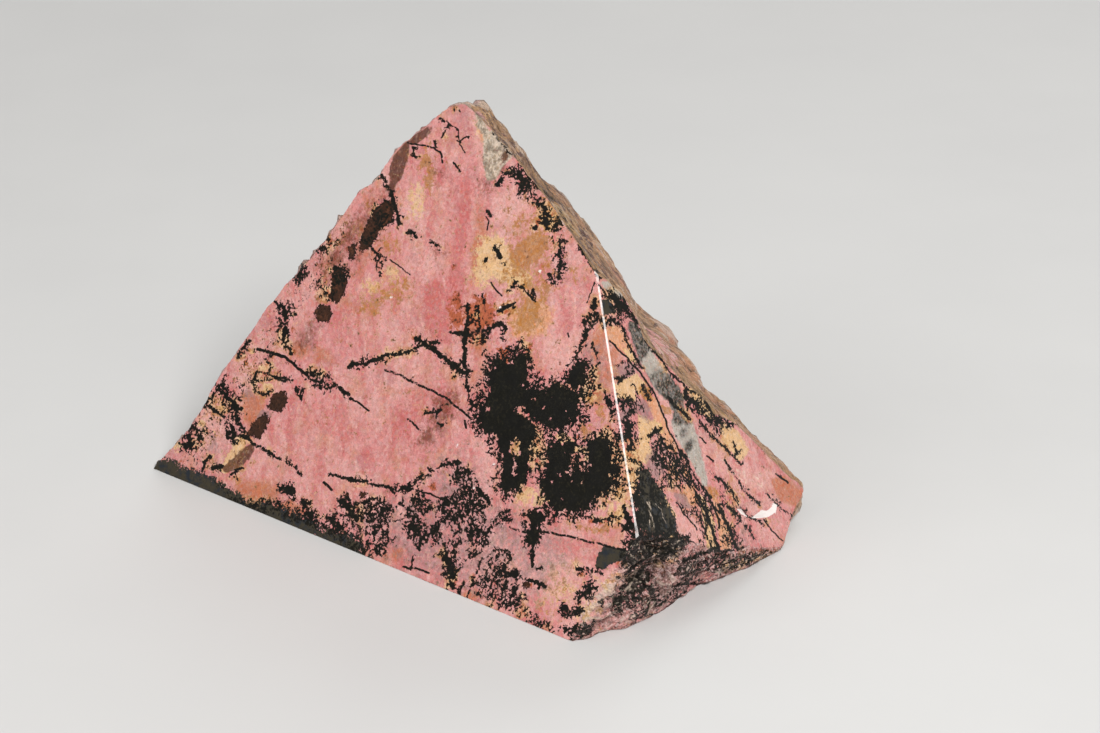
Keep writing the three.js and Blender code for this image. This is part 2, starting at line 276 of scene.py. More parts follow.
        2, 0.15, (609, 341), (620, 352), (628, 358), (634, 366), (641, 373), (647, 384), (653, 392),
        (658, 404), (665, 420), (671, 434), (679, 450),
    ),
    "side face, long crack two": (
        2.8, 0.5, (617, 320), (624, 330), (628, 341), (633, 351), (637, 360), (641, 370),
    ),
    "side face, right of the quartz": (
        4, 0.6, (646, 338), (651, 346), (660, 357), (668, 368), (677, 379), (688, 390),
    ),
    "side face, brown line beside it": (1.6, 0.3, (640, 328), (648, 336), (651, 344)),
    "side face, hatch one": (2.4, 1, (614, 367), (622, 362), (633, 360)),
    "side face, hatch two": (2.6, 0.6, (617, 384), (625, 378), (634, 373)),
    "side face, hatch three": (2, 0.4, (620, 379), (628, 374), (634, 371)),
    "side face, blot": (5, 0.9, (626, 416), (632, 410), (634, 414)),
    "side face, streaks in the mauve": (1.6, 0.5, (638, 398), (642, 404), (644, 412)),
    "side face, moss in the cream": (6, 1, (649, 436), (656, 432), (663, 440), (657, 445)),
    "side face, in the mosaic, one": (2.4, 0.7, (624, 461), (632, 459), (640, 463), (643, 472)),
    "side face, in the mosaic, two": (2, 0.7, (628, 472), (636, 470), (640, 480)),
    "side face, in the mosaic, three": (2.4, 0.7, (631, 484), (638, 480), (639, 488)),
    "side face, beside the yellow": (3, 0.9, (634, 384), (636, 392), (637, 401)),
    "side face, below the yellow strip": (3, 0.9, (642, 386), (646, 392), (651, 400)),
    "side face, from the quartz down": (4, 0.9, (668, 398), (674, 406), (681, 412), (690, 420)),
    "side face, top of the pink band": (5, 0.9, (684, 390), (688, 398), (698, 404)),
    "side face, stripe one": (3.4, 0.3, (696, 492), (703, 505), (711, 526), (717, 548)),
    "side face, stripe two": (2.4, 0.3, (706, 490), (712, 502), (717, 514), (719, 528)),
    "side face, stripe three": (4.6, 0.5, (718, 504), (724, 520), (733, 537), (737, 548)),
    "side face, stripe four": (1.3, 0.3, (692, 486), (700, 502), (706, 520), (707, 540)),
    "side face, olive by the quartz": (4.4, 0.8, (681, 451), (688, 464), (694, 476), (704, 490)),
    "side face, spots, one": (2.6, 0.9, (726, 488), (734, 494), (738, 502)),
    "side face, spots, two": (2.6, 0.9, (738, 520), (746, 526), (756, 538)),
    "side face, spots, three": (3, 1, (722, 502), (732, 510), (740, 518)),
    "side face, spots, four": (3, 0.8, (716, 478), (724, 484), (731, 490)),
    "break, black ledge": (5, 0.4, (684, 561), (698, 555), (714, 549)),
    "break, under the stripes": (3, 0.4, (714, 551), (728, 551), (743, 548)),
    "break, edge of the light facet": (2.4, 0.6, (628, 604), (634, 612), (640, 618)),
    "break, cluster by the steel": (5, 0.9, (577, 569), (588, 571), (602, 574)),
    "break, cluster lower down": (9, 0.9, (588, 582), (590, 592), (578, 600)),
    "break, cluster near the tip": (7, 0.9, (562, 606), (566, 614), (580, 609)),
    "beside the tall crack": (3.4, 0.5, (478, 305), (479, 316), (480, 330)),
}

# A mossy crack this wide is a cluster of twigs, and every crack is drawn a little thinner than its width.
CLUSTER_WIDTH = 6.5
CLUSTER_MOSS = 0.8
CRACK_THINNING = 0.84

# A crack with more moss than this also grows grains and twigs.
MOSSY = 0.35

# Solid black shapes: the outline of each
BLACK_SHAPES = {
    "great mass": (
        (475, 416), (478, 406), (484, 400), (488, 392), (487, 382), (489, 371), (492, 361), (498, 358),
        (505, 356), (509, 364), (513, 358), (521, 351), (527, 356), (529, 369), (530, 382), (536, 389),
        (547, 386), (555, 381), (563, 380), (571, 386), (586, 387), (581, 403), (580, 416), (573, 426),
        (563, 430), (552, 430), (545, 426), (537, 434), (532, 445), (530, 455), (528, 471), (525, 484),
        (516, 492), (505, 494), (499, 487), (500, 476), (503, 466), (498, 453), (496, 442), (492, 436),
        (484, 434), (478, 428),
    ),
    "mass by the ridge": (
        (547, 446), (556, 439), (563, 443), (573, 442), (584, 445), (589, 440), (602, 434), (610, 437),
        (615, 450), (616, 461), (618, 476), (615, 484), (605, 492), (594, 502), (584, 511), (568, 513),
        (557, 515), (547, 507), (542, 492), (541, 481), (543, 466),
    ),
    "horn of the mass": (
        (563, 384), (567, 371), (572, 362), (579, 358), (587, 362), (590, 372), (587, 386), (574, 392),
    ),
    "dark bird": (
        (524, 514), (536, 509), (546, 514), (549, 524), (544, 520), (539, 530), (539, 543), (531, 548),
        (525, 541), (528, 526),
    ),
    "upper right blot": (
        (512, 168), (521, 167), (526, 179), (533, 186), (533, 192), (524, 190), (519, 195), (520, 185),
        (514, 176),
    ),
    "black beside the lower ridge": ((633, 489), (640, 488), (642, 530), (636, 527)),
    "slanting bar": ((339, 501), (346, 499), (354, 509), (361, 520), (356, 525), (347, 515)),
    "side face, oxide at the top": (
        (604, 294), (613, 292), (622, 298), (628, 306), (636, 316), (640, 322), (634, 322), (627, 316),
        (620, 313), (614, 306), (607, 299),
    ),
    "side face, blot under the steel": ((602, 319), (616, 317), (620, 321), (612, 325), (603, 325)),
    "side face, cluster": (
        (617, 399), (624, 396), (633, 401), (636, 405), (628, 405), (622, 411), (617, 409),
    ),
    "side face, cluster by the ridge": (
        (622, 424), (628, 418), (634, 422), (632, 430), (636, 436), (634, 446), (629, 450), (627, 440),
        (622, 436),
    ),
    "side face, cluster at the right": (
        (701, 396), (707, 398), (714, 414), (722, 418), (729, 425), (716, 428), (712, 418), (704, 406),
    ),
    "left rim, clot one": (
        (222, 388), (230, 391), (239, 400), (241, 411), (236, 417), (230, 410), (226, 401), (220, 395),
    ),
    "left rim, clot two": (
        (184, 437), (192, 430), (202, 426), (204, 434), (200, 444), (190, 451), (184, 446),
    ),
    "left rim, long clot": (
        (280, 306), (290, 304), (292, 312), (286, 318), (288, 330), (286, 345), (280, 336), (281, 320),
    ),
    "left rim, end of the long crack": (
        (309, 376), (318, 372), (328, 378), (335, 388), (324, 390), (314, 384),
    ),
    "left rim, high clot": ((296, 268), (304, 266), (306, 276), (300, 282), (294, 278)),
    "left rim, top clot": ((318, 240), (326, 238), (328, 248), (320, 254)),
    "above the oval": ((318, 284), (326, 286), (330, 292), (326, 298), (320, 294)),
    "top of the long block": ((334, 268), (342, 266), (347, 275), (342, 283), (336, 280)),
    "under the left crack": ((228, 420), (236, 424), (240, 434), (236, 442), (229, 434)),
    "break, granular black": (
        (634, 530), (646, 535), (660, 533), (676, 535), (689, 540), (683, 546), (676, 556), (668, 560),
        (657, 556), (648, 566), (640, 566), (628, 568), (624, 560), (628, 547),
    ),
    # The black in the dark hollow is partly oxide and partly painted shade.
    "break, hollow": (
        (646, 564), (649, 580), (656, 590), (651, 598), (640, 600), (628, 604), (620, 608), (610, 606),
        (618, 596), (620, 586), (630, 574), (638, 566),
    ),
    "under the bar": ((470, 333), (484, 332), (486, 338), (480, 342), (474, 340)),
}

# Moss: share covered, then the outline
MOSS = {
    "edge of the great mass": (
        0.5, (484, 358), (500, 346), (524, 343), (536, 364), (552, 383), (584, 378), (590, 398),
        (585, 434), (626, 430), (626, 496), (590, 516), (560, 524), (536, 512), (536, 442), (494, 445),
        (470, 430), (468, 408),
    ),
    "above the right mass": (0.62, (576, 385), (580, 366), (592, 362), (594, 380), (588, 398)),
    "between the masses": (0.4, (528, 400), (548, 418), (548, 446), (534, 448)),
    "between the masses and the ridge": (
        0.34, (600, 392), (622, 384), (630, 440), (628, 500), (618, 440),
    ),
    "left fan under the masses": (
        0.6, (452, 466), (474, 470), (480, 500), (485, 528), (468, 524), (452, 492),
    ),
    "network left of the fan": (0.44, (428, 500), (456, 496), (472, 522), (462, 536), (436, 514)),
    "fine network lower down": (
        0.42, (428, 524), (446, 526), (462, 540), (458, 560), (446, 552), (430, 540),
    ),
    "pale network": (0.36, (420, 520), (440, 522), (446, 540), (428, 545)),
    "between fan and diagonal": (0.44, (468, 528), (494, 514), (490, 540), (470, 556), (462, 540)),
    "clump right of the diagonal": (0.62, (495, 508), (512, 508), (516, 522), (500, 528)),
    "lowest network": (0.46, (474, 575), (498, 570), (520, 590), (524, 612), (500, 604), (472, 596)),
    "along the foot, right": (0.5, (508, 600), (530, 612), (552, 624), (560, 632), (530, 624)),
    "net above the crossing vein": (0.5, (484, 556), (508, 545), (514, 560), (500, 572), (484, 570)),
    "left spray, upper": (0.42, (350, 502), (392, 498), (396, 520), (378, 534), (356, 528)),
    "left spray, middle": (0.5, (322, 510), (344, 504), (372, 536), (362, 552), (330, 538)),
    "left spray, lower": (0.46, (362, 536), (386, 528), (396, 540), (386, 558), (370, 552)),
    "clump right of the spray": (0.8, (380, 504), (392, 503), (390, 517), (380, 516)),
    "left cluster, upper": (0.95, (279, 484), (290, 481), (297, 488), (296, 502), (290, 498), (277, 492)),
    "left cluster, lower": (0.92, (299, 497), (311, 500), (316, 516), (312, 526), (303, 516)),
    "stain to the left of the spray": (0.8, (324, 514), (338, 510), (346, 530), (334, 538), (322, 528)),
    "left rim": (
        0.3, (170, 452), (214, 394), (262, 334), (300, 276), (318, 284), (290, 330), (262, 372),
        (224, 430), (196, 470),
    ),
    "left rim, upper": (0.3, (300, 276), (345, 218), (356, 226), (322, 290)),
    "by the rind": (
        0.34, (500, 160), (536, 188), (566, 232), (572, 280), (552, 276), (546, 226), (512, 190),
    ),
    "side face, olive": (
        0.72, (666, 448), (681, 450), (690, 472), (702, 492), (690, 490), (676, 478), (666, 462),
    ),
    "side face, olive low": (
        0.68, (674, 500), (690, 507), (704, 512), (708, 534), (696, 520), (682, 512),
    ),
    "side face, mosaic": (0.3, (622, 414), (640, 414), (642, 452), (640, 490), (628, 490), (622, 450)),
    "side face, stripes": (0.36, (696, 486), (712, 490), (738, 540), (738, 550), (706, 550)),
    "side face, right network": (0.4, (688, 392), (704, 396), (722, 418), (720, 440), (706, 424)),
    "side face, spotted strip": (0.3, (712, 474), (728, 480), (752, 520), (738, 530), (718, 500)),
    "upper edge of the foot band": (
        0.56, (196, 466), (240, 496), (270, 496), (312, 508), (370, 540), (380, 556), (362, 556),
        (300, 524), (240, 510),
    ),
    "break, right ledges": (
        0.66, (690, 562), (714, 552), (780, 550), (762, 560), (740, 569), (716, 577), (700, 572),
    ),
    "break, beside the lump": (0.6, (676, 558), (700, 556), (706, 572), (684, 584), (672, 574)),
    "break, low rim": (0.4, (640, 602), (690, 574), (700, 578), (650, 612), (620, 624)),
    "break, tip": (0.74, (560, 626), (596, 620), (592, 636), (572, 642)),
    "side face, above the foliated": (
        0.62, (648, 440), (660, 434), (674, 444), (690, 478), (684, 494), (664, 486), (652, 466),
    ),
    "on the middle block": (0.5, (370, 198), (396, 196), (398, 222), (374, 240)),
    "under the middle block": (0.3, (352, 236), (370, 232), (366, 256), (346, 262)),
}

# Twigs of each field: thinnest and thickest in pixels, and how much they wander
TWIGS = {"black": (1.0, 2.4, 0.3), "fleck": (0.5, 0.9, 0.06), "rusty": (1.2, 3.4, 0.1)}

# Twigs of oxide, light flecks and rust: field, number, length in pixels, lean in degrees,
# then the outline that they lie in
SPRAYS = {
    "left spray": ("black", 46, 11, 62, (346, 500), (394, 498), (394, 522), (366, 532)),
    "left spray, lower": ("black", 22, 9, 70, (356, 524), (392, 528), (386, 556), (366, 550)),
    "fan under the masses": ("black", 44, 12, -66, (452, 466), (476, 468), (486, 528), (462, 528)),
    "network left of the fan": ("black", 36, 8, 20, (424, 500), (456, 496), (470, 526), (440, 524)),
    "fine network": ("black", 30, 6, 50, (428, 524), (458, 526), (464, 550), (440, 556)),
    "column": ("black", 18, 7, 80, (442, 552), (462, 552), (460, 586), (446, 586)),
    "beside the diagonal": ("black", 22, 9, 58, (468, 530), (494, 526), (486, 552), (468, 558)),
    "lowest network": ("black", 52, 7, 55, (472, 574), (506, 572), (526, 612), (486, 604)),
    "foot fringe": ("black", 24, 5, 60, (500, 600), (524, 606), (560, 632), (536, 626)),
    "upper right edge of the mass": ("black", 26, 7, -75, (480, 352), (528, 342), (534, 366), (486, 372)),
    "edge by the pink island": ("black", 22, 6, 50, (578, 384), (596, 364), (596, 396), (584, 436)),
    "right edge of the mass": ("black", 20, 6, 20, (600, 432), (626, 430), (626, 492), (608, 500)),
    "break, black grains": ("black", 30, 6, 15, (630, 540), (688, 538), (676, 560), (632, 560)),
    "side face, foliated": (
        "black", 34, 14, -64, (640, 470), (650, 476), (672, 512), (676, 534), (642, 529),
    ),
    "side face, foliated, pale": ("fleck", 9, 6, -64, (648, 496), (658, 500), (672, 530), (650, 528)),
    "side face, stripes": (
        "black", 22, 13, -60, (692, 486), (710, 490), (738, 540), (734, 548), (706, 548),
    ),
    "side face, olive": ("black", 16, 7, -50, (666, 452), (684, 456), (700, 490), (680, 480)),
    "side face, hatch": ("black", 9, 5, 30, (614, 368), (632, 362), (634, 376), (618, 384)),
    "side face, quartz flecks": ("fleck", 14, 5, -40, (640, 350), (664, 362), (664, 376), (650, 376)),
    "rust": ("black", 4, 7, 88, (472, 304), (482, 304), (482, 326), (474, 328)),
    # The pale arcs in the hollow are painted highlights.
    "break, arcs in the hollow": (
        "fleck", 9, 13, 60, (622, 584), (636, 570), (644, 572), (640, 596), (622, 602),
    ),
    "break, pale lines low": ("fleck", 16, 10, 36, (604, 606), (650, 600), (696, 578), (630, 622)),
    # These pale grains and specks in the break are painted glints of crystal faces.
    "break, grains": ("fleck", 70, 1.6, 10, (630, 540), (688, 540), (674, 560), (628, 564)),
    "break, grains in the hollow": ("fleck", 30, 1.6, 10, (620, 590), (646, 568), (654, 592), (620, 606)),
    "break, specks in the ledges": ("fleck", 34, 2.4, 26, (714, 556), (776, 551), (742, 567), (716, 576)),
    "break, specks on the lump": ("fleck", 30, 2, 26, (652, 562), (690, 558), (676, 584), (654, 592)),
    "break, streaks of the light facet": (
        "fleck", 18, 9, 52, (600, 580), (630, 566), (614, 596), (580, 624),
    ),
    "break, dark streaks in it": ("black", 5, 6, 52, (600, 590), (620, 570), (616, 594), (590, 620)),
    "smoke, flecks": ("black", 7, 6, 40, (424, 412), (442, 404), (446, 422), (430, 434)),
    "break, stripes of the low rim": (
        "black", 18, 15, 38, (626, 620), (650, 604), (698, 574), (702, 580), (650, 614),
    ),
    "break, stripes beside the lump": (
        "black", 10, 11, 30, (662, 592), (694, 562), (704, 572), (680, 588),
    ),
    "rust, streaks": ("rusty", 12, 13, 88, (470, 300), (492, 302), (490, 324), (470, 326)),
    "rust, left streaks": ("rusty", 8, 15, 84, (447, 298), (458, 300), (462, 326), (452, 328)),
    "rust, right streaks": ("rusty", 6, 8, 40, (492, 300), (510, 298), (504, 318), (490, 322)),
    "rust over the mass": ("rusty", 7, 7, 70, (498, 350), (510, 350), (508, 364), (500, 366)),
    "side face, above the foliated": (
        "black", 26, 8, -52, (652, 440), (668, 442), (690, 484), (662, 486),
    ),
    "fan, dense": ("black", 26, 8, -60, (454, 476), (472, 478), (480, 514), (464, 516)),
    "network, dense": ("black", 30, 7, 30, (396, 504), (426, 500), (432, 536), (400, 540)),
    "middle block": ("black", 12, 6, 52, (374, 206), (392, 202), (390, 224), (366, 244)),
    "long block": ("black", 7, 5, 60, (334, 270), (346, 268), (344, 292), (332, 298)),
    "side face, fine lines of the pink": (
        "fleck", 26, 12, -42, (712, 448), (752, 470), (784, 486), (770, 500), (724, 470),
    ),
}

# Clear specks inside the black: number, largest radius in pixels, then the outline they lie in
SPECKS = {
    "great mass": (9, 0.8, (480, 380), (530, 380), (580, 400), (578, 430), (484, 430)),
    "cream island in the stem": (8, 2.2, (510, 440), (520, 440), (520, 456), (512, 456)),
    "lower right mass": (9, 0.8, (548, 446), (618, 444), (618, 490), (552, 500)),
    "cream islands": (6, 2.0, (570, 450), (590, 448), (590, 470), (570, 466)),
    "upper left mass": (5, 0.8, (492, 362), (528, 356), (528, 400), (492, 400)),
    "cluster at the long crack": (12, 1.3, (308, 374), (332, 378), (330, 388), (312, 384)),
    "cluster near the left corner": (9, 1.4, (184, 432), (204, 430), (202, 448), (186, 448)),
    "break, granular black": (16, 0.8, (632, 540), (686, 540), (672, 558), (634, 558)),
    "break, hollow": (14, 1.1, (620, 590), (650, 572), (652, 596), (620, 604)),
    "window in the great mass": (5, 1.8, (513, 408), (523, 408), (522, 417), (514, 416)),
    "side face, cluster by the ridge": (7, 1.1, (623, 424), (635, 420), (636, 446), (626, 448)),
}

# Thin light veins through the black: width in pixels, then the points
VEINS = {
    "across the great mass": (1.1, (519, 412), (527, 416), (536, 424), (547, 434)),
    "down the mass by the ridge": (1.7, (585, 442), (586, 456), (584, 470)),
    "beside it": (1.0, (578, 448), (572, 460), (570, 474)),
    "low in the stem": (1.0, (511, 452), (515, 462), (514, 474)),
}

# Hollows in the stone, and lumps where the depth is below zero: depth in millimetres,
# half width and half height in pixels, lean in degrees, then the places
HOLLOWS = {
    "dark hollow": (1.5, 11, 15, -30, (636, 582)),
    "hollow at its left": (0.9, 7, 9, -30, (618, 600)),
    "lump at its right": (-0.9, 15, 9, 30, (664, 575)),
    "step above the light facet": (-0.5, 8, 18, 35, (600, 600)),
    "notch at the ridge foot": (0.8, 8, 6, 0, (646, 545)),
    "ledge to the right": (0.7, 16, 4, 20, (706, 560)),
    "second ledge": (0.6, 20, 3, 32, (676, 592)),
    "dip above the tip": (0.6, 12, 5, 30, (626, 612)),
}

# Shallow chips in a polished face: depth in mm, then the outline
CHIPS = {
    "on the side face": (
        0.35, (735, 506), (745, 502), (757, 500), (768, 500), (777, 503), (777, 511), (766, 519),
        (752, 518), (742, 514),
    ),
}

# Soft coloured marks: strength, half width, half height in pixels, lean in degrees, then the places
OCHRE = {
    "stroke by the apex": (0.9, 4, 14, -10, (425, 161), (430, 180)),
    "left of the upper brown": (0.5, 9, 10, 0, (391, 244)),
    "right shoulder": (0.6, 12, 12, 0, (540, 240), (524, 262), (512, 276), (530, 284), (542, 290)),
    "under the shoulder": (0.8, 16, 12, 25, (530, 306), (526, 322)),
    "by the rind": (0.6, 8, 9, 0, (552, 212), (546, 206)),
    "left middle": (0.55, 15, 12, 30, (386, 296), (372, 306), (398, 288)),
    "by the black river": (0.5, 8, 10, 0, (572, 274), (548, 262)),
    "near the foot": (0.35, 14, 16, 0, (554, 582), (548, 606)),
    "fine island rims": (0.7, 6, 8, 0, (590, 400), (584, 430), (600, 398), (512, 446)),
    "below the great mass": (0.5, 12, 6, 0, (572, 524), (598, 530)),
}
CREAM = {
    "band beside the apex": (0.4, 5, 8, 0, (478, 128), (488, 120)),
    "stroke under the apex": (0.7, 6, 12, -20, (418, 206), (416, 196)),
    "round the three spots": (0.66, 11, 12, 0, (490, 248), (494, 266), (484, 274), (506, 270)),
    "left block": (0.6, 6, 12, 30, (240, 448), (230, 462)),
    "left rim": (0.6, 5, 6, 0, (222, 408), (178, 446), (200, 424)),
    "by the middle brown": (0.5, 12, 10, 0, (392, 276), (372, 288)),
    "beside the masses": (0.7, 8, 8, 0, (585, 452), (574, 448), (516, 447), (562, 438)),
    "island between the masses": (0.6, 6, 8, 0, (534, 452), (532, 462)),
    "near the ridge foot": (0.9, 5, 9, -20, (620, 498), (622, 512)),
    "under the long line": (0.7, 16, 6, 15, (540, 500), (530, 494)),
    "pale yellow near the foot": (0.4, 14, 13, 0, (554, 572), (548, 600), (562, 590)),
    "break, light facet": (0.5, 10, 14, 30, (596, 602), (584, 616), (602, 588)),
}
ROSE = {
    "streak under the apex": (1, 6, 28, -6, (464, 212), (460, 240), (456, 268), (460, 292)),
    "left of the great mass": (0.7, 14, 20, 0, (446, 400), (420, 404), (400, 420)),
    "patch by the foot": (1, 18, 7, 10, (572, 549), (560, 546)),
    "lower left field": (0.4, 34, 26, 0, (350, 430), (320, 420), (390, 440)),
    "near the lower edge": (0.6, 16, 9, 25, (406, 560), (440, 578)),
}
PALE = {
    "lower left bay": (0.8, 12, 16, 0, (214, 424), (206, 440)),
    "left rim field": (0.7, 12, 18, 20, (240, 370), (246, 382)),
    "by the left cracks": (0.5, 16, 14, 0, (264, 344), (300, 340)),
    "centre field": (0.4, 30, 26, 0, (430, 226), (400, 330)),
    "right of the streak": (0.5, 18, 22, 0, (512, 224), (520, 204)),
    "under the ridge top": (0.6, 12, 20, 20, (574, 300), (552, 330)),
    "centre foot": (0.5, 12, 26, 20, (480, 440), (488, 470)),
    "spot by the steel": (0.9, 8, 6, 0, (586, 552)),
    "middle right": (0.5, 14, 16, 0, (520, 560), (500, 540)),
    "side face, pink field": (0.7, 16, 14, -40, (706, 444), (722, 462), (744, 480)),
    "break, facet": (0.6, 12, 14, 35, (584, 612), (600, 596)),
}
SALMON = {
    "upper left field": (0.34, 26, 24, 0, (350, 224), (330, 262), (372, 190)),
    "below the left brown": (1, 14, 9, 20, (250, 490), (264, 496)),
    "lower left spot": (1, 9, 7, 0, (287, 508), (294, 511)),
    "right of the streak": (0.7, 8, 30, 0, (480, 230), (478, 262)),
    "beside the ridge": (0.6, 10, 24, -8, (606, 380), (600, 346), (614, 352)),
    "left of the masses": (0.6, 10, 12, 0, (484, 346), (470, 336)),
    "under the clump": (0.6, 12, 10, 0, (322, 356), (300, 350)),
    "foot, left": (0.6, 12, 6, 25, (394, 554), (470, 596)),
}
RUST = {
    "below the ochre": (1, 9, 8, 0, (476, 318), (484, 322)),
    "by the tall crack": (0.8, 4, 14, 0, (452, 312), (456, 300)),
    "dash in the rose": (0.8, 2.4, 2.4, 0, (454, 268), (460, 300)),
    "left side": (0.9, 3, 3, 0, (293, 330), (293, 351), (246, 363)),
    "above the masses": (0.8, 5, 4, -30, (502, 363), (506, 358), (528, 346)),
    "in the upper crack": (0.7, 4, 3, 0, (410, 330), (426, 330), (414, 338)),
    "right of the masses": (0.7, 3, 3, 0, (557, 369), (560, 364), (578, 436)),
    "orange dot": (1.8, 3.4, 2.4, 20, (433, 487)),
    "near the ridge foot": (0.9, 4, 3, 0, (571, 517), (592, 521), (600, 523)),
    "by the steel": (1.8, 4, 3, 0, (621, 563)),
    "foot": (0.8, 3, 4, 20, (581, 574), (577, 603), (532, 585)),
    "lower left edge": (0.8, 4, 3, 20, (181, 463), (192, 470)),
}
# Outlines of the quartz
QUARTZ = {
    "side face": (
        (629, 321), (636, 322), (641, 330), (646, 340), (651, 349), (656, 359), (663, 367), (670, 376),
        (678, 386), (685, 397), (682, 404), (692, 422), (697, 436), (701, 452), (705, 470), (708, 486),
        (703, 486), (696, 471), (689, 458), (682, 446), (676, 436), (672, 424), (674, 412), (668, 401),
        (658, 392), (652, 384), (647, 374), (641, 362), (636, 350), (632, 338), (628, 327),
    ),
    "side face, at the ridge top": (
        (602, 282), (607, 281), (622, 292), (625, 300), (615, 296), (606, 290),
    ),
}
# Smoky parts of the quartz, as soft marks again
QUARTZ_DARK = {
    "side face, upper end": (1.8, 6, 14, -30, (631, 326), (636, 336), (642, 347)),
    "side face, middle": (0.8, 6, 9, -30, (651, 380), (661, 384), (668, 378)),
    "side face, waist": (2.4, 9, 10, -30, (675, 388), (678, 397), (682, 410)),
    "side face, low": (0.9, 4, 7, -30, (689, 446), (684, 432)),
}
# Outlines of the brown blocks
BROWN = {
    "middle block": (
        (385, 201), (391, 200), (396, 208), (392, 222), (382, 228), (372, 246), (362, 252), (358, 244),
        (366, 226), (373, 210),
    ),
    "faint block": ((349, 246), (357, 243), (356, 256), (348, 262)),
    "long block": ((333, 270), (342, 267), (349, 282), (343, 296), (337, 304), (329, 298), (331, 285)),
    "oval": ((314, 312), (320, 304), (330, 306), (333, 314), (328, 322), (318, 322)),
    "square block": ((273, 393), (285, 391), (288, 402), (281, 413), (266, 408)),
    "second block": ((265, 413), (270, 421), (260, 439), (247, 435), (252, 423)),
    "small block low": ((345, 492), (350, 493), (348, 500), (343, 499)),
    "small block right of it": ((361, 491), (366, 493), (363, 499), (358, 497)),
    "amber spot near the foot": ((522, 582), (528, 581), (530, 587), (523, 588)),
    "brown beside the upper right blot": ((520, 172), (528, 182), (527, 188), (520, 184)),
}
# Dark plates, slaty ones and darker parts along the main face's lower left edge: strength, width of the soft
# edge in pixels, then the outline
SLATE = {
    # The dark corner and the dark foot band make the main face darker along its lower left edge.
    "dark corner": (
        2, 5, (146, 468), (156, 460), (172, 462), (184, 470), (200, 474), (214, 480), (228, 490),
        (242, 498), (240, 512), (190, 498), (146, 478),
    ),
    "dark foot band": (
        1.7, 6, (236, 499), (250, 504), (264, 503), (276, 504), (288, 512), (300, 516), (310, 518),
        (320, 528), (334, 531), (350, 534), (362, 545), (370, 562), (352, 564), (300, 542), (252, 522),
        (234, 512),
    ),
    "steel plate": (
        4, 1.5, (604, 546), (627, 551), (625, 559), (617, 561), (606, 563), (602, 569), (597, 567),
    ),
    "steel by the ridge top": (3, 1.5, (602, 300), (608, 300), (616, 312), (604, 314)),
    "side face, foliated": (
        1.8, 3, (640, 468), (648, 470), (655, 483), (663, 492), (668, 506), (675, 520), (678, 536),
        (652, 533), (639, 529), (638, 491),
    ),
}
# Soft marks again
SMOKE = {
    "cloud in the middle": (0.7, 15, 9, 40, (446, 402), (440, 418), (430, 434)),
    "under the apex": (0.4, 10, 10, 0, (438, 176), (484, 186)),
    "left of the masses": (0.5, 8, 5, 0, (474, 334)),
    "left rim": (0.4, 7, 9, 0, (440, 250)),
    "break, lump": (0.5, 18, 14, 20, (664, 576), (690, 562)),
    "right of the sand": (0.9, 5, 6, -20, (505, 155), (500, 166)),
}
LILAC = {
    "break, lump": (1, 16, 9, 30, (664, 574), (650, 568)),
    "break, right": (0.8, 18, 6, 25, (690, 562), (672, 592), (652, 606)),
    "main face, under the masses": (0.5, 12, 16, 0, (478, 520), (484, 560)),
    "main face, left bay": (0.5, 10, 12, 0, (214, 446), (250, 392)),
}
HALO = {
    "right of the great mass": (0.6, 16, 44, 0, (606, 420), (612, 470)),
    "between the masses": (1, 10, 20, 0, (534, 440)),
    "left side": (0.3, 18, 24, 0, (274, 366), (296, 320), (236, 410)),
    "left corner": (0.3, 20, 14, 0, (190, 440), (230, 460)),
    "right shoulder": (0.8, 16, 20, 0, (548, 220), (512, 284)),
    "lower left": (0.6, 20, 12, 0, (320, 500), (360, 500)),
}
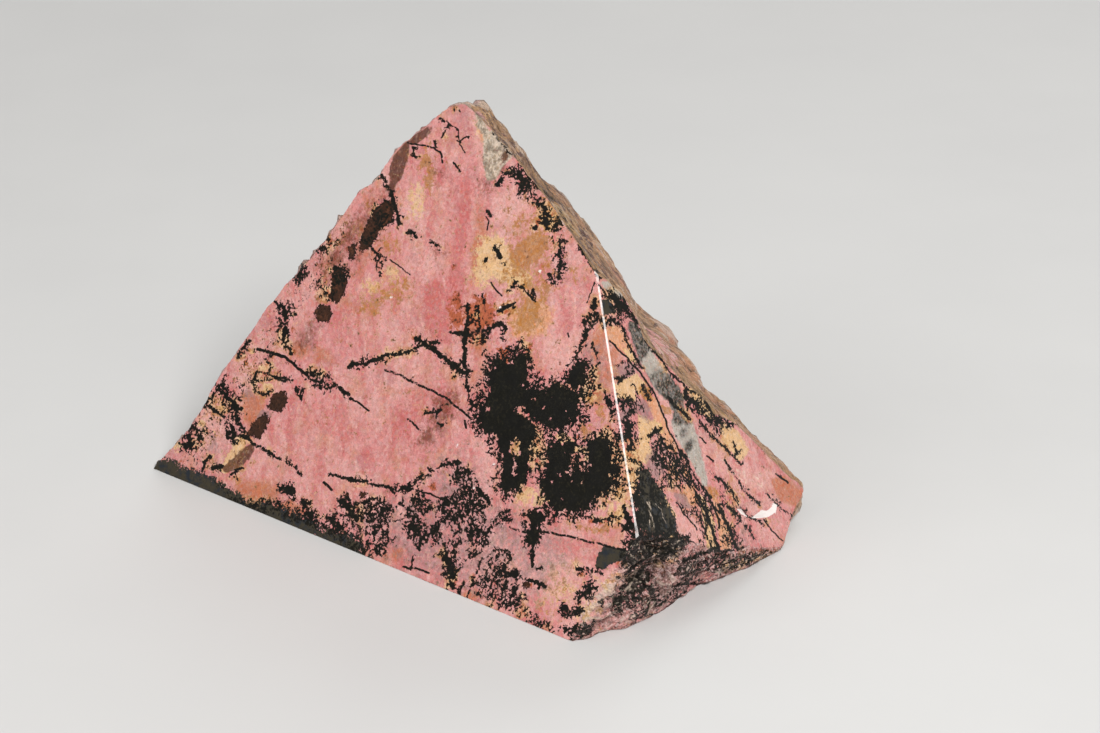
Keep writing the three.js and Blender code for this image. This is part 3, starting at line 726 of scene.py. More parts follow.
# Areas of colour: the field, strength, width of the soft edge in pixels, then the outline
GROUNDS = {
    "right shoulder": (
        "ochre", 0.34, 14, (508, 196), (536, 206), (560, 240), (568, 282), (552, 300), (546, 336),
        (512, 342), (508, 300), (494, 280), (498, 240),
    ),
    "upper left, tan": (
        "salmon", 0.34, 18, (350, 210), (398, 186), (404, 236), (412, 296), (382, 330), (348, 332),
        (330, 290),
    ),
    "upper left, dull": (
        "smoke", 0.55, 14, (318, 250), (350, 216), (392, 186), (372, 244), (342, 280), (320, 300),
    ),
    "left rim": (
        "halo", 0.4, 10, (165, 462), (214, 390), (262, 330), (300, 270), (345, 215), (400, 140),
        (414, 150), (398, 192), (366, 250), (336, 300), (312, 356), (288, 396), (262, 432), (236, 472),
        (200, 478),
    ),
    # The chip's white hook and tick are partly bruised white stone and partly a painted highlight of the
    # glare on its rim; its sheen is a painted reflection.
    "chip, white hook": (
        "glint", 1.2, 1.2, (751, 518), (757, 514), (761, 510), (766, 511), (771, 508), (773, 503),
        (777, 505), (776, 512), (768, 517), (760, 518),
    ),
    "chip, white tick": ("glint", 1.2, 1.2, (737, 509), (741, 509), (744, 513), (747, 517), (741, 514)),
    "chip, sheen": ("pale", 1, 3, (742, 503), (760, 500), (770, 502), (764, 511), (750, 512)),
    "cream bar": (
        "cream", 1.3, 3, (247, 436), (244, 445), (237, 460), (226, 473), (219, 469), (231, 453),
        (237, 438),
    ),
    "left rim, ochre": (
        "ochre", 0.14, 12, (165, 462), (214, 390), (262, 330), (300, 270), (345, 215), (360, 230),
        (312, 300), (262, 380), (230, 460), (200, 478),
    ),
    "rust, left column": ("rust", 0.7, 6, (447, 296), (456, 298), (460, 326), (452, 328)),
    "rust, middle": ("rust", 1.1, 6, (464, 304), (480, 300), (494, 306), (490, 326), (468, 328)),
    "rust, right": ("rust", 0.35, 9, (488, 304), (508, 298), (512, 306), (500, 320), (488, 322)),
    "rust above the bar": ("smoke", 0.55, 7, (452, 330), (496, 322), (490, 336), (456, 340)),
    "low right, pale": (
        "pale", 0.6, 20, (500, 540), (560, 530), (600, 556), (600, 610), (560, 624), (520, 590),
    ),
    "network ground": (
        "mauve", 0.5, 18, (432, 452), (468, 444), (498, 500), (556, 524), (580, 560), (540, 604),
        (480, 604), (400, 566), (330, 524), (352, 496), (424, 490),
    ),
    "between the masses and the ridge": (
        "halo", 0.6, 8, (586, 366), (612, 372), (628, 440), (634, 500), (606, 520), (588, 440),
    ),
    "by the ridge, mauve": ("mauve", 0.5, 8, (580, 340), (604, 340), (612, 396), (600, 404), (584, 380)),
    "rind strip": ("tan", 1, 3, (676, 352), (702, 366), (730, 410), (722, 418), (704, 400), (682, 378)),
    "break, lilac lump": ("pale", 1.0, 7, (652, 560), (692, 556), (700, 574), (664, 604), (648, 600)),
    "break, pink foot": ("pale", 0.8, 6, (600, 616), (628, 606), (644, 612), (628, 626), (600, 630)),
    "side face, panel, salmon": (
        "peach", 1.6, 2, (611, 327), (619, 326), (628, 340), (633, 351), (625, 346), (616, 335),
    ),
    "side face, panel, peach": (
        "peach", 0.9, 2, (606, 328), (612, 328), (622, 342), (634, 362), (628, 357), (618, 348),
        (608, 340),
    ),
    "side face, panel, cream foot": ("cream", 1.2, 3, (623, 348), (632, 351), (635, 364), (628, 358)),
    "side face, under the first crack": ("pale", 1.4, 3, (610, 345), (626, 358), (616, 363), (612, 358)),
    "side face, mauve by the hatch": (
        "mauve", 1, 3, (613, 366), (632, 362), (636, 372), (618, 383), (614, 378),
    ),
    "side face, yellow": (
        "cream", 2, 2.5, (615, 386), (624, 381), (634, 376), (634, 400), (624, 397), (617, 398),
    ),
    "side face, yellow, right": ("cream", 1.5, 2.5, (636, 374), (644, 384), (641, 394), (636, 390)),
    "side face, dark ochre": ("ochre", 1.3, 2.5, (638, 387), (648, 388), (653, 399), (644, 399)),
    "side face, mauve": (
        "mauve", 0.7, 2.5, (634, 403), (643, 398), (650, 404), (654, 420), (648, 424), (640, 416),
    ),
    "side face, orange strip": (
        "peach", 1.8, 2, (645, 395), (654, 398), (660, 410), (666, 424), (674, 442), (677, 451),
        (668, 450), (660, 430), (652, 412),
    ),
    "side face, mauve strip": ("mauve", 1.0, 2.5, (617, 414), (634, 405), (637, 412), (621, 423)),
    "side face, cream": (
        "cream", 2, 2.5, (640, 416), (650, 422), (660, 424), (662, 432), (650, 432), (648, 444),
        (652, 454), (645, 463), (640, 458), (640, 436),
    ),
    "side face, mosaic": (
        "cream", 1.5, 2.5, (624, 452), (640, 450), (642, 464), (638, 480), (636, 490), (631, 490),
        (627, 474),
    ),
    "side face, rust in the mosaic": ("rust", 1.2, 2, (628, 451), (636, 454), (634, 459), (627, 457)),
    "side face, rust in the cluster": ("rust", 1.2, 2, (627, 436), (633, 438), (631, 444), (626, 442)),
    "side face, right of the crack": (
        "pale", 1.6, 3, (656, 391), (668, 402), (675, 414), (674, 426), (682, 447), (674, 436),
        (666, 418), (658, 402),
    ),
    "side face, ochre beside it": ("ochre", 1.2, 2.5, (662, 406), (670, 408), (671, 414), (665, 413)),
    "side face, cream at the right": (
        "cream", 1.6, 2.5, (689, 388), (700, 391), (709, 410), (714, 420), (700, 412), (692, 400),
    ),
    "side face, orange at the right": ("peach", 1.6, 2.5, (693, 390), (702, 392), (703, 400), (696, 398)),
    "side face, yellow at the right": (
        "cream", 1.8, 3, (722, 423), (738, 434), (747, 452), (739, 459), (730, 448), (722, 438),
    ),
    "side face, mauve, lower": (
        "mauve", 1.0, 4, (646, 458), (652, 450), (662, 452), (662, 474), (656, 480), (650, 474),
    ),
    "side face, spot in the olive": ("peach", 1.8, 2, (682, 468), (688, 471), (688, 477), (683, 475)),
    "side face, ground of the olive": (
        "ochre", 0.3, 4, (666, 448), (681, 450), (702, 492), (706, 530), (674, 500),
    ),
    "side face, orange patch": (
        "peach", 2, 2, (684, 485), (694, 488), (699, 500), (690, 505), (684, 497),
    ),
    "side face, grey patch": ("mauve", 1.8, 2.5, (674, 494), (685, 496), (690, 507), (680, 507)),
    "side face, pink foot": (
        "pale", 1.6, 3, (667, 508), (676, 507), (690, 514), (698, 526), (706, 548), (690, 543),
        (676, 531),
    ),
    "side face, tan line": (
        "cream", 1.5, 1.6, (661, 488), (666, 500), (676, 516), (672, 518), (664, 505), (659, 492),
    ),
    "side face, stripe, yellow": (
        "cream", 1.6, 2, (699, 494), (705, 500), (714, 524), (716, 549), (708, 549), (705, 526),
    ),
    "side face, stripe, orange": (
        "peach", 1.8, 2, (712, 494), (722, 508), (731, 536), (731, 549), (721, 549), (718, 524),
    ),
    "side face, orange above it": ("ochre", 0.7, 3, (704, 484), (716, 487), (722, 500), (710, 500)),
    "side face, right corner": (
        "salmon", 1.2, 5, (770, 480), (784, 478), (802, 492), (798, 506), (782, 500),
    ),
    "side face, mauve right of the stripes": (
        "mauve", 0.4, 6, (732, 512), (756, 530), (764, 548), (740, 549),
    ),
    "left rim, brown by the oval": (
        "smoke", 0.6, 8, (312, 322), (322, 324), (314, 346), (298, 352), (292, 340),
    ),
    "left rim, tan": ("salmon", 0.9, 8, (242, 394), (262, 392), (262, 416), (252, 434), (242, 420)),
    "left rim, pale bay": (
        "pale", 1, 6, (204, 408), (218, 412), (230, 436), (222, 452), (206, 448), (198, 424),
    ),
    "side face, pale flow": ("pale", 1.3, 6, (744, 478), (770, 470), (778, 482), (758, 492)),
    "side face, pale flow low": ("pale", 1.2, 6, (760, 500), (768, 494), (776, 500), (770, 510)),
    "break, light ground": (
        "pale", 1.6, 5, (626, 566), (640, 567), (622, 586), (612, 601), (604, 612), (590, 630),
        (566, 632), (561, 622), (575, 612), (586, 600), (592, 586), (600, 574),
    ),
    "break, tan on it": ("peach", 0.8, 5, (612, 572), (626, 568), (620, 586), (606, 598), (600, 588)),
    "break, cream on it": ("cream", 0.6, 6, (588, 596), (606, 600), (592, 618), (576, 620)),
    "break, red ledge": (
        "rust", 0.7, 3, (722, 553), (742, 550), (782, 547), (782, 551), (742, 556), (726, 560),
    ),
    "break, yellow in the ledges": (
        "cream", 0.7, 4, (722, 562), (752, 556), (778, 552), (744, 567), (720, 574),
    ),
    "upper block": (
        "umber", 2, 2, (409, 141), (408, 154), (404, 168), (400, 179), (392, 183), (390, 168), (395, 157),
        (401, 148),
    ),
    "upper block, foot": ("umber", 1.4, 3, (392, 178), (398, 180), (392, 192), (386, 190)),
    "middle block, fade": (
        "umber", 0.5, 5, (376, 226), (392, 224), (372, 242), (352, 262), (342, 270), (340, 262),
        (358, 244),
    ),
    "third block": (
        "umber", 2, 2, (252, 444), (254, 450), (240, 468), (226, 472), (223, 468), (236, 457), (247, 447),
    ),
    "apex, sand": (
        "sand", 1.6, 3, (484, 138), (492, 130), (502, 138), (512, 150), (511, 158), (502, 166),
        (496, 178), (487, 180), (484, 160),
    ),
    "apex, pale band": (
        "pale", 1.2, 5, (468, 108), (480, 112), (492, 130), (486, 150), (486, 176), (478, 160),
        (474, 132),
    ),
    "apex, cream": ("peach", 0.9, 4, (474, 118), (484, 124), (492, 130), (485, 148), (478, 138)),
    "shoulder, ochre, low": (
        "ochre", 1.5, 2.5, (511, 257), (518, 244), (539, 232), (546, 236), (540, 257), (530, 266),
        (519, 266),
    ),
    "shoulder, ochre, high": (
        "ochre", 1.3, 3, (530, 222), (540, 214), (553, 207), (562, 216), (556, 228), (545, 228),
    ),
    "shoulder, cream": (
        "cream", 1.1, 4, (479, 246), (492, 237), (504, 239), (510, 256), (516, 268), (533, 275),
        (530, 285), (504, 281), (488, 275), (478, 262),
    ),
    "shoulder, pink": ("pale", 0.9, 5, (490, 196), (522, 186), (532, 204), (514, 226), (494, 226)),
    "shoulder, peach foot": ("peach", 0.9, 7, (506, 312), (540, 296), (556, 310), (548, 336), (512, 340)),
    "upper left, light": ("pale", 0.8, 8, (398, 196), (420, 190), (428, 214), (412, 230), (398, 220)),
    "rose, wide": (
        "rose", 0.55, 14, (446, 180), (466, 176), (470, 230), (468, 300), (448, 296), (440, 240),
    ),
    "left of the rose, lilac": (
        "rose", 1.1, 7, (424, 290), (436, 276), (450, 300), (450, 344), (436, 344), (424, 318),
    ),
    "left rim, cream in the ring": ("cream", 1.4, 2, (259, 366), (267, 366), (266, 371), (260, 370)),
    "left rim, cream under the ring": ("cream", 1.4, 2, (262, 384), (272, 384), (272, 390), (264, 391)),
    "strip by the apex": (
        "umber", 1.8, 2, (432, 124), (430, 132), (417, 143), (409, 142), (414, 136), (423, 131),
    ),
    "pale part of the third block": ("mauve", 1.5, 2, (262, 410), (270, 414), (262, 424), (256, 420)),
    "apex, sand band": ("sand", 1.0, 3, (474, 112), (482, 116), (490, 130), (484, 138), (476, 126)),
    "apex, dark sand": ("umber", 0.85, 3, (502, 148), (508, 150), (510, 158), (504, 166), (500, 158)),
    "above the masses, pale": ("pale", 1, 6, (546, 340), (572, 334), (576, 356), (560, 372), (540, 366)),
    "side face, pink beside the rind": (
        "pale", 1.3, 3, (644, 326), (654, 330), (674, 352), (680, 366), (668, 364), (652, 345),
    ),
    "foot, rose strip": ("rose", 0.9, 4, (548, 540), (590, 548), (604, 560), (572, 560), (546, 552)),
    "foot band, brown": ("umber", 1.2, 4, (236, 500), (262, 502), (282, 510), (272, 518), (250, 514)),
    "break, granular ground": (
        "umber", 1.6, 2, (634, 530), (660, 533), (688, 539), (678, 556), (650, 566), (628, 567),
    ),
}
# Soft white marks on small bright pits: partly their own pale chipped colour, partly painted glints
GLINTS = {
    "bright specks": (
        1, 1.3, 1.3, 0, (391, 297), (418, 372), (521, 296), (540, 272), (500, 307), (473, 250),
    ),
    "bright dash": (0.8, 1, 4.5, -20, (458, 445)),
    "white in the black": (0.9, 1.4, 1.4, 0, (494, 464), (474, 488)),
}


# The photograph was taken in bright light, so the stone is a little darker than its pixels.
DAYLIGHT = 0.86


def paint(red, green, blue):
    """A colour read off the photograph, as the linear values that shaders take."""
    return tuple(DAYLIGHT * ((channel / 255 + 0.055) / 1.055) ** 2.4 for channel in (red, green, blue))


PINK = paint(217, 147, 144)
ROSE_RED = paint(200, 110, 108)
PALE_PINK = paint(228, 172, 164)
SALMON_PINK = paint(196, 122, 92)
MAUVE = paint(188, 130, 130)
LILAC_GREY = paint(156, 126, 126)
CREAM_YELLOW = paint(230, 192, 142)
OCHRE_BROWN = paint(182, 126, 72)
SAND = paint(216, 196, 176)
SAND_DARK = paint(142, 128, 112)
UMBER = paint(82, 52, 40)
PEACH = paint(226, 166, 128)
TAN = paint(204, 146, 116)
RUST_RED = paint(180, 92, 56)
RUST_BLACK = paint(58, 28, 16)
QUARTZ_GREY = paint(178, 168, 156)
QUARTZ_SMOKE = paint(46, 44, 34)
GARNET_BROWN = paint(62, 40, 30)
GARNET_LIGHT = paint(98, 60, 42)
SLATE_GREEN = paint(64, 58, 46)
STEEL_BLUE = paint(38, 44, 52)
BLACK_OXIDE = paint(16, 15, 9)
BLACK_DEEP = paint(14, 13, 11)
BLACK_WARM = paint(38, 34, 23)
SMOKE_BROWN = paint(120, 66, 54)
# White of chips and bruises, also used for painted glints and painted highlights
WHITE_CHIP_AND_GLINT = paint(245, 235, 230)
RIND_LIGHT = paint(226, 192, 148)
RIND_TAN = paint(170, 134, 88)
RIND_PALE = paint(200, 162, 122)
RIND_OLIVE = paint(172, 136, 88)
RIND_DARK = paint(62, 54, 40)
RIND_PINK = paint(196, 142, 110)


# The photograph as a sheet to draw on

class Sheet:
    """Fields drawn over the photograph's pixels: how far inside a mark, or how strong it is."""

    LEFT = 140
    TOP = 88
    RIGHT = 816
    BOTTOM = 652
    PER_PIXEL = 2
    REACH = 5
    CORE = 1

    def __init__(self):
        across = (self.RIGHT - self.LEFT) * self.PER_PIXEL
        down = (self.BOTTOM - self.TOP) * self.PER_PIXEL
        self.x, self.y = np.meshgrid(
            self.LEFT + np.arange(across) / self.PER_PIXEL, self.TOP + np.arange(down) / self.PER_PIXEL
        )
        self.fields = {}

    def field(self, name, empty):
        if name not in self.fields:
            self.fields[name] = np.full(self.x.shape, float(empty))
        return self.fields[name]

    def window(self, points, reach):
        low = np.min(points, axis=0) - reach
        high = np.max(points, axis=0) + reach
        corners = (np.array([low, high]) - (self.LEFT, self.TOP)) * self.PER_PIXEL
        columns, rows = np.clip(corners, 0, self.x.shape[::-1]).astype(int).T
        return slice(rows[0], rows[1] + 1), slice(columns[0], columns[1] + 1)

    def segment_distance(self, where, start, end):
        x, y = self.x[where], self.y[where]
        along = np.subtract(end, start)
        length = max(float(along @ along), 1e-9)
        share = np.clip(((x - start[0]) * along[0] + (y - start[1]) * along[1]) / length, 0, 1)
        return np.hypot(x - start[0] - share * along[0], y - start[1] - share * along[1]), share

    def stroke(self, name, start, end, width, end_width=None):
        """Raises the field along a line, whose width may change from one end to the other."""
        if end_width is None:
            end_width = width
        field = self.field(name, -self.REACH)
        where = self.window((start, end), self.REACH + width)
        distance, share = self.segment_distance(where, start, end)
        inside = (width + (end_width - width) * share) / 2 - distance
        inside = inside + np.clip(inside, 0, self.CORE)
        field[where] = np.maximum(field[where], inside)

    def dot(self, name, place, radius):
        self.stroke(name, place, place, 2 * radius)

    def cut(self, name, start, end, width):
        """Lowers the field along a line."""
        field = self.field(name, -self.REACH)
        where = self.window((start, end), self.REACH + width)
        distance, _ = self.segment_distance(where, start, end)
        field[where] = np.minimum(field[where], distance - width / 2)

    def inside(self, where, outline):
        """Pixels from the outline, positive inside it."""
        x, y = self.x[where], self.y[where]
        nearest = np.full(x.shape, 1e9)
        crossings = np.zeros(x.shape, bool)
        for (ax, ay), (bx, by) in zip(outline, (*outline[1:], outline[0])):
            distance, _ = self.segment_distance(where, (ax, ay), (bx, by))
            nearest = np.minimum(nearest, distance)
            if ay != by:
                spans = (y < ay) != (y < by)
                crossings ^= spans & (x < ax + (y - ay) * (bx - ax) / (by - ay))
        return np.where(crossings, nearest, -nearest)

    def shape(self, name, outline):
        field = self.field(name, -self.REACH)
        where = self.window(outline, self.REACH)
        field[where] = np.maximum(field[where], self.inside(where, outline))

    def wash(self, name, outline, strength, softness):
        """A soft-edged area: full strength inside, fading over a few pixels."""
        field = self.field(name, 0)
        where = self.window(outline, softness)
        depth = self.inside(where, outline)
        field[where] = np.maximum(field[where], strength * np.clip(0.5 + depth / softness / 2, 0, 1))

    def cloud(self, name, place, strength, half_width, half_height, lean):
        """A soft oval."""
        field = self.field(name, 0)
        where = self.window((place, place), 2 * max(half_width, half_height))
        squared = oval(self.x[where] - place[0], self.y[where] - place[1], half_width, half_height, lean)
        field[where] = np.maximum(field[where], strength * np.exp(-0.7 * squared))

    def read(self, name, pixels, outside):
        """The field between its samples, at any places in the photograph."""
        field = self.fields[name]
        column = (pixels[:, 0] - self.LEFT) * self.PER_PIXEL
        row = (pixels[:, 1] - self.TOP) * self.PER_PIXEL
        known = (column >= 0) & (row >= 0) & (column < field.shape[1] - 1) & (row < field.shape[0] - 1)
        column, row = np.where(known, column, 0), np.where(known, row, 0)
        left, top = column.astype(int), row.astype(int)
        right_share, low_share = column - left, row - top
        upper = field[top, left] * (1 - right_share) + field[top, left + 1] * right_share
        lower = field[top + 1, left] * (1 - right_share) + field[top + 1, left + 1] * right_share
        return np.where(known, upper * (1 - low_share) + lower * low_share, outside)


def oval(x, y, half_width, half_height, lean):
    """How far out places are in a leaning oval, squared: 1 on its edge."""
    turn = math.radians(lean)
    across = (x * math.cos(turn) - y * math.sin(turn)) / half_width
    down = (x * math.sin(turn) + y * math.cos(turn)) / half_height
    return across**2 + down**2


def heading_to(turned):
    return np.array([math.cos(turned), math.sin(turned)])


def along(points, step):
    """Places every step pixels along a line of points, each with the direction there."""
    points = np.array(points, float)
    for start, end in zip(points[:-1], points[1:]):
        length = float(np.hypot(*(end - start)))
        heading = (end - start) / max(length, 1e-9)
        for at in np.arange(0, length, step):
            yield start + heading * at, heading


def clumping():
    """A share between 0 and 1 that drifts from step to step, so that grains come in clusters."""
    share = RANDOM.random()
    while True:
        share = min(1.0, max(0.0, share + RANDOM.normal(0, 0.28)))
        yield share


def moss(sheet, place, outward, size):
    """Grains of oxide and now and then a twig, growing away from a crack or an edge."""
    for _ in range(RANDOM.integers(1, 4)):
        offset = outward * RANDOM.uniform(-0.4, 1) * size + RANDOM.normal(0, 0.35 * size, 2)
        sheet.dot("black", place + offset, 0.3 + 0.34 * size * RANDOM.random() ** 2)
    if RANDOM.random() < 0.6:
        turned = math.atan2(outward[1], outward[0]) + RANDOM.normal(0, 0.7)
        reach = RANDOM.uniform(0.7, 2.4) * size
        tip = place + reach * heading_to(turned)
        sheet.stroke("black", place, tip, RANDOM.uniform(0.7, 1.6), 0.3)


def draw_cluster(sheet, name, points, width):
    """Twigs in every direction along a wide mossy crack."""
    for place, _ in along(points, 0.7):
        start = place + RANDOM.normal(0, 0.16 * width, 2)
        length = RANDOM.uniform(0.2, 0.75) * width
        twig(sheet, name, start, RANDOM.uniform(0, 2 * math.pi), length, RANDOM.uniform(0.9, 2.2), 0.4)


def draw_crack(sheet, name, points, width, mossy):
    """A line that wanders and swells as it goes, with moss on both sides."""
    drift = np.zeros(2)
    places = []
    for place, _ in along(points, 2.5):
        drift = 0.7 * drift + RANDOM.normal(0, 0.3 + 0.3 * mossy, 2)
        places.append(place + drift)
    places.append(np.array(points[-1], float))
    share = clumping()
    thick = [CRACK_THINNING * width * (1 - 0.3 * mossy + 0.9 * mossy * (next(share) - 0.5)) for _ in places]
    for start, end, at_start, at_end in zip(places[:-1], places[1:], thick[:-1], thick[1:]):
        sheet.stroke(name, start, end, at_start, at_end)
    for place, heading in along(points, 1.5):
        if RANDOM.random() < 1.3 * mossy * next(share):
            sideways = np.array([-heading[1], heading[0]]) * RANDOM.choice([-1, 1])
            moss(sheet, place + sideways * width * 0.25, sideways, 0.9 + width * 0.4)


def draw_cracks(sheet):
    for width, mossy, *points in CRACKS.values():
        name = "black" if mossy > MOSSY else "line"
        if width >= CLUSTER_WIDTH and mossy >= CLUSTER_MOSS:
            draw_cluster(sheet, name, points, width)
            width *= 0.5
        draw_crack(sheet, name, points, width, mossy)


def draw_black_shapes(sheet):
    for outline in BLACK_SHAPES.values():
        outline = np.array(outline, float)
        sheet.shape("black", outline)
        centre = outline.mean(axis=0)
        share = clumping()
        radius = np.mean(np.hypot(*(outline - centre).T))
        for place, _ in along(np.vstack([outline, outline[:1]]), 1.3):
            outward = (place - centre) / np.hypot(*(place - centre))
            moss(sheet, place, outward, 1.2 + 1.8 * next(share))
            if RANDOM.random() < 0.4:
                turned = math.atan2(outward[1], outward[0]) + RANDOM.normal(0, 0.4)
                length = min(9.0, RANDOM.uniform(0.1, 0.36) * radius)
                twig(sheet, "black", place - outward, turned, length, RANDOM.uniform(0.8, 1.7), 0.25)
            if RANDOM.random() < 0.3:
                inward = place - outward * RANDOM.uniform(0, 4)
                sheet.cut("black", inward, inward + outward * RANDOM.uniform(2, 6), RANDOM.uniform(0.4, 1.3))


def inside_outline(place, outline):
    """Whether a place lies inside an outline of a few points."""
    x, y = place
    crossings = sum(
        (y < ay) != (y < by) and x < ax + (y - ay) * (bx - ax) / (by - ay)
        for (ax, ay), (bx, by) in zip(outline, outline[1:] + outline[:1])
    )
    return crossings % 2 == 1


def places_in(outline, count):
    """Random places inside an outline of a few points."""
    low, high = np.min(outline, axis=0), np.max(outline, axis=0)
    found = []
    while len(found) < count:
        place = RANDOM.uniform(low, high)
        if inside_outline(place, tuple(outline)):
            found.append(place)
    return found


def twig(sheet, name, place, turned, length, thick, wander):
    """A twig of oxide that wanders and branches as it thins."""
    while length > 0 and thick > 0.4:
        step = RANDOM.uniform(1.4, 2.8)
        turned += RANDOM.normal(0, wander)
        tip = place + step * heading_to(turned)
        thinner = thick * RANDOM.uniform(0.78, 1.1)
        sheet.stroke(name, place, tip, thick, thinner)
        if name != "fleck" and RANDOM.random() < 0.3:
            aside = turned + RANDOM.choice([-1, 1]) * RANDOM.uniform(0.5, 1.2)
            twig(sheet, name, tip, aside, 0.5 * length, 0.8 * thick, wander)
        place, length, thick = tip, length - step, thinner


def draw_sprays(sheet):
    for name, count, length, lean, *outline in SPRAYS.values():
        for place in places_in(outline, count):
            turned = math.radians(-lean) + RANDOM.normal(0, 0.35) + RANDOM.choice([0, math.pi])
            half = 0.3 * length * heading_to(turned)
            thinnest, thickest, wander = TWIGS[name]
            thick = RANDOM.uniform(thinnest, thickest)
            twig(sheet, name, place - half, turned, RANDOM.uniform(0.6, 1.3) * length, thick, wander)


def draw_specks(sheet):
    for count, largest, *outline in SPECKS.values():
        for place in places_in(outline, count):
            half = RANDOM.normal(0, 0.9 * largest, 2)
            sheet.cut("black", place - half, place + half, RANDOM.uniform(0.6, 1.4) * largest)


def draw_veins(sheet):
    for width, *points in VEINS.values():
        for start, _ in along(points, 2):
            half = RANDOM.normal(0, 1.1, 2)
            sheet.cut("black", start - half, start + half, width * RANDOM.uniform(0.5, 1.5))


def draw_clouds(sheet, name, table):
    for strength, half_width, half_height, lean, *places in table.values():
        for place in places:
            sheet.cloud(name, place, strength, half_width, half_height, lean)


def markings():
    """Every marking of the front, drawn once over the photograph's pixels."""
    sheet = Sheet()
    draw_cracks(sheet)
    draw_black_shapes(sheet)
    draw_sprays(sheet)
    draw_specks(sheet)
    draw_veins(sheet)
    for share, *outline in MOSS.values():
        sheet.wash("moss", outline, share, 4)
    soft_marks = {
        "ochre": OCHRE, "cream": CREAM, "rose": ROSE, "pale": PALE, "salmon": SALMON, "rust": RUST,
        "dark_quartz": QUARTZ_DARK, "smoke": SMOKE, "glint": GLINTS, "mauve": LILAC, "halo": HALO,
    }
    for name, table in soft_marks.items():
        draw_clouds(sheet, name, table)
    for name, table in (("brown", BROWN), ("quartz", QUARTZ)):
        for outline in table.values():
            sheet.shape(name, outline)
    for strength, softness, *outline in SLATE.values():
        sheet.wash("slate", outline, strength, softness)
    sheet.wash("break", BREAK_IN_VIEW, 1, 3)
    for _, *outline in CHIPS.values():
        sheet.shape("chip", outline)
    for name, strength, softness, *outline in GROUNDS.values():
        sheet.wash(name, outline, strength, softness)
    return sheet


# Geometry helpers

def unit(vector):
    return vector / np.linalg.norm(vector)


def facing(azimuth, slope):
    turn, lean = math.radians(azimuth), math.radians(slope)
    return np.array([math.cos(turn) * math.sin(lean), math.sin(turn) * math.sin(lean), math.cos(lean)])


def photo_pixels(points):
    """Where points of the stone lie in the photograph."""
    focal = LENS / SENSOR * PHOTO_WIDTH
    away = points - np.array(CAMERA_PLACE)
    up = away[:, 1] * math.cos(CAMERA_TILT) + away[:, 2] * math.sin(CAMERA_TILT)
    depth = away[:, 1] * math.sin(CAMERA_TILT) - away[:, 2] * math.cos(CAMERA_TILT)
    across = PHOTO_WIDTH / 2 + focal * away[:, 0] / depth
    down = PHOTO_HEIGHT / 2 - focal * up / depth
    return np.column_stack([across, down])


def cad_mesh():
    """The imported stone's vertices, welded, and its triangles."""
    mesh = STONE.data
    mesh.calc_loop_triangles()
    points = np.empty(len(mesh.vertices) * 3)
    mesh.vertices.foreach_get("co", points)
    points = points.reshape(-1, 3)
    corners = np.empty(len(mesh.loop_triangles) * 3, int)
    mesh.loop_triangles.foreach_get("vertices", corners)
    places = np.round(points / WELD).astype(int)
    _, first, welded = np.unique(places, axis=0, return_index=True, return_inverse=True)
    triangles = welded.reshape(-1)[corners].reshape(-1, 3)
    whole = np.all(triangles != np.roll(triangles, -1, axis=1), axis=1)
    return points[first], triangles[whole]


def triangle_normals(points, triangles):
    a, b, c = (points[triangles[:, k]] for k in range(3))
    cross = np.cross(b - a, c - a)
    size = np.linalg.norm(cross, axis=1)
    return cross / np.maximum(size, 1e-20)[:, None], size / 2


def vertex_normals(points, triangles):
    normals, areas = triangle_normals(points, triangles)
    total = np.zeros_like(points)
    for corner in range(3):
        np.add.at(total, triangles[:, corner], normals * areas[:, None])
    return total / np.maximum(np.linalg.norm(total, axis=1), 1e-20)[:, None]


def edges_of(triangles):
    """The edges of all the triangles, with each vertex pair in rising order."""
    return np.sort(np.vstack([triangles[:, [0, 1]], triangles[:, [1, 2]], triangles[:, [2, 0]]]), axis=1)


def open_edges(triangles):
    """Edges that only one triangle has."""
    unique, counts = np.unique(edges_of(triangles), axis=0, return_counts=True)
    return unique[counts == 1]


def pairs(row):
    """The edges along a row of vertices."""
    return list(zip(row[:-1], row[1:]))


def tree_of(points):
    tree = kdtree.KDTree(len(points))
    for index, point in enumerate(points):
        tree.insert(point, index)
    tree.balance()
    return tree


def refine(points, triangles, longest):
    """Splits every edge that is longer than wanted at its middle, until none is."""
    points = [Vector(p) for p in points]
    triangles = [tuple(t) for t in triangles]
    for _ in range(REFINEMENTS):
        middles = {}
        for triangle in triangles:
            for a, b in zip(triangle, triangle[1:] + triangle[:1]):
                key = (min(a, b), max(a, b))
                if key not in middles:
                    middle = (points[a] + points[b]) / 2
                    if (points[a] - points[b]).length > longest(middle):
                        middles[key] = len(points)
                        points.append(middle)
                    else:
                        middles[key] = None
        split = []
        for a, b, c in triangles:
            split += split_triangle(a, b, c, middles)
        if len(split) == len(triangles):
            break
        triangles = split
    return np.array([tuple(p) for p in points]), np.array(triangles)


def split_triangle(a, b, c, middles):
    for _ in range(3):
        ab, bc, ca = (middles[(min(p, q), max(p, q))] for p, q in ((a, b), (b, c), (c, a)))
        if ab is not None and bc is not None and ca is not None:
            return [(a, ab, ca), (ab, b, bc), (ca, bc, c), (ab, bc, ca)]
        if ab is not None and bc is not None:
            return [(ab, b, bc), (a, ab, bc), (a, bc, c)]
        if ab is not None and ca is None:
            return [(a, ab, c), (ab, b, c)]
        a, b, c = b, c, a
    return [(a, b, c)]


def relax(points, triangles, fixed, rounds):
    """Evens out the facets by moving each free vertex towards its neighbours' middle."""
    edges = np.unique(edges_of(triangles), axis=0)
    for _ in range(rounds):
        total = np.zeros_like(points)
        count = np.zeros(len(points))
        for a, b in ((0, 1), (1, 0)):
            np.add.at(total, edges[:, a], points[edges[:, b]])
            np.add.at(count, edges[:, a], 1)
        middle = total / np.maximum(count, 1)[:, None]
        points = np.where(fixed[:, None], points, points * 0.5 + middle * 0.5)
    return points


def smooth_step(values, low, high):
    share = np.clip((values - low) / (high - low), 0, 1)
    return share * share * (3 - 2 * share)


# The sawn planes

